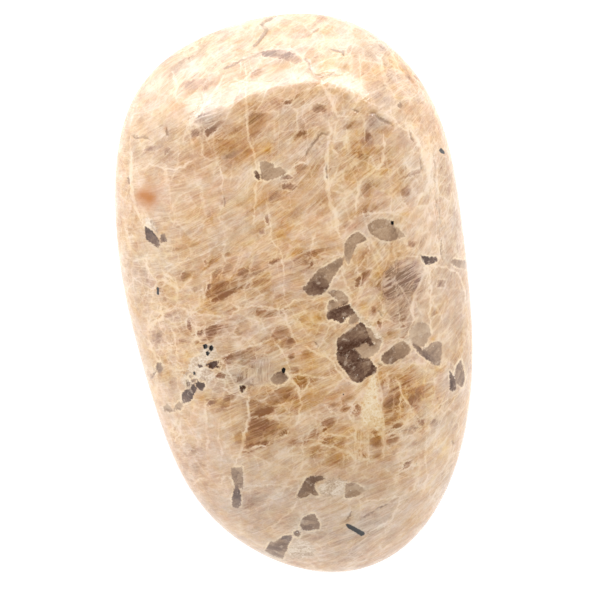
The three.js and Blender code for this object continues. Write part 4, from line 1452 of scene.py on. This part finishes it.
def makeFloor():
    half = studio["floorSize"] / 2
    mesh = bpy.data.meshes.new("floor")
    corners = [(-half, -half, 0), (half, -half, 0), (half, half, 0), (-half, half, 0)]
    mesh.from_pydata(corners, [], [(0, 1, 2, 3)])
    floor = bpy.data.objects.new("floor", mesh)
    bpy.context.scene.collection.objects.link(floor)
    material = bpy.data.materials.new("white table")
    material.use_nodes = True
    shader = material.node_tree.nodes["Principled BSDF"]
    shader.inputs["Base Color"].default_value = studio["floorColour"]
    shader.inputs["Roughness"].default_value = 0.8
    shader.inputs["Specular IOR Level"].default_value = 0.2
    shader.inputs["Emission Color"].default_value = (1, 1, 1, 1)
    shader.inputs["Emission Strength"].default_value = studio["floorGlow"]
    mesh.materials.append(material)


def makeWorld():
    # pale all round and dimmer overhead
    world = bpy.data.worlds.new("studio")
    bpy.context.scene.world = world
    world.use_nodes = True
    tree = world.node_tree
    tree.nodes.clear()
    spot = place(tree, "ShaderNodeTexCoord").outputs["Generated"]
    height = place(tree, "ShaderNodeSeparateXYZ", {"Vector": spot}).outputs["Z"]
    sides = spread(tree, height, 0.6, 0.78, studio["sides"], studio["zenith"])
    horizon = spread(tree, height, 0.0, 0.5, studio["horizon"] - studio["sides"], 0.0)
    strength = calc(tree, "ADD", sides, horizon)
    background = place(tree, "ShaderNodeBackground", {"Color": (1, 1, 1, 1), "Strength": strength})
    output = place(tree, "ShaderNodeOutputWorld")
    tree.links.new(background.outputs[0], output.inputs["Surface"])


def makeLight(name, size, distance, fromZenith, radiance, inPlan):
    # a soft panel that faces the stone; inPlan is its direction in degrees from +X
    data = bpy.data.lights.new(name, "AREA")
    data.shape = "RECTANGLE"
    data.size, data.size_y = size
    data.energy = radiance * math.pi * size[0] * size[1]
    tilt, turn = math.radians(fromZenith), math.radians(inPlan)
    way = Vector((math.sin(tilt) * math.cos(turn), math.sin(tilt) * math.sin(turn), math.cos(tilt)))
    lamp = bpy.data.objects.new(name, data)
    lamp.location = way * distance
    lamp.rotation_euler = way.to_track_quat("Z", "Y").to_euler()
    bpy.context.scene.collection.objects.link(lamp)


def makeCamera():
    data = bpy.data.cameras.new("camera")
    data.lens = photo["lens"]
    data.sensor_width = photo["sensor"]
    data.clip_start = 0.01
    camera = bpy.data.objects.new("camera", data)
    half = photo["frame"] / 2
    x = (half - photo["middle"][0]) * photo["pixel"]
    y = (photo["middle"][1] - half) * photo["pixel"]
    height = pebbleShape["girdleHeight"] + photo["distance"]
    camera.location = (x * milli, y * milli, height * milli)
    bpy.context.scene.collection.objects.link(camera)
    bpy.context.scene.camera = camera


makeFloor()
makeWorld()
makeLight("key panel", **studio["key"])
makeLight("back panel", **studio["back"])
makeCamera()
bpy.context.scene.view_settings.view_transform = "Standard"
print("stage: studio set")
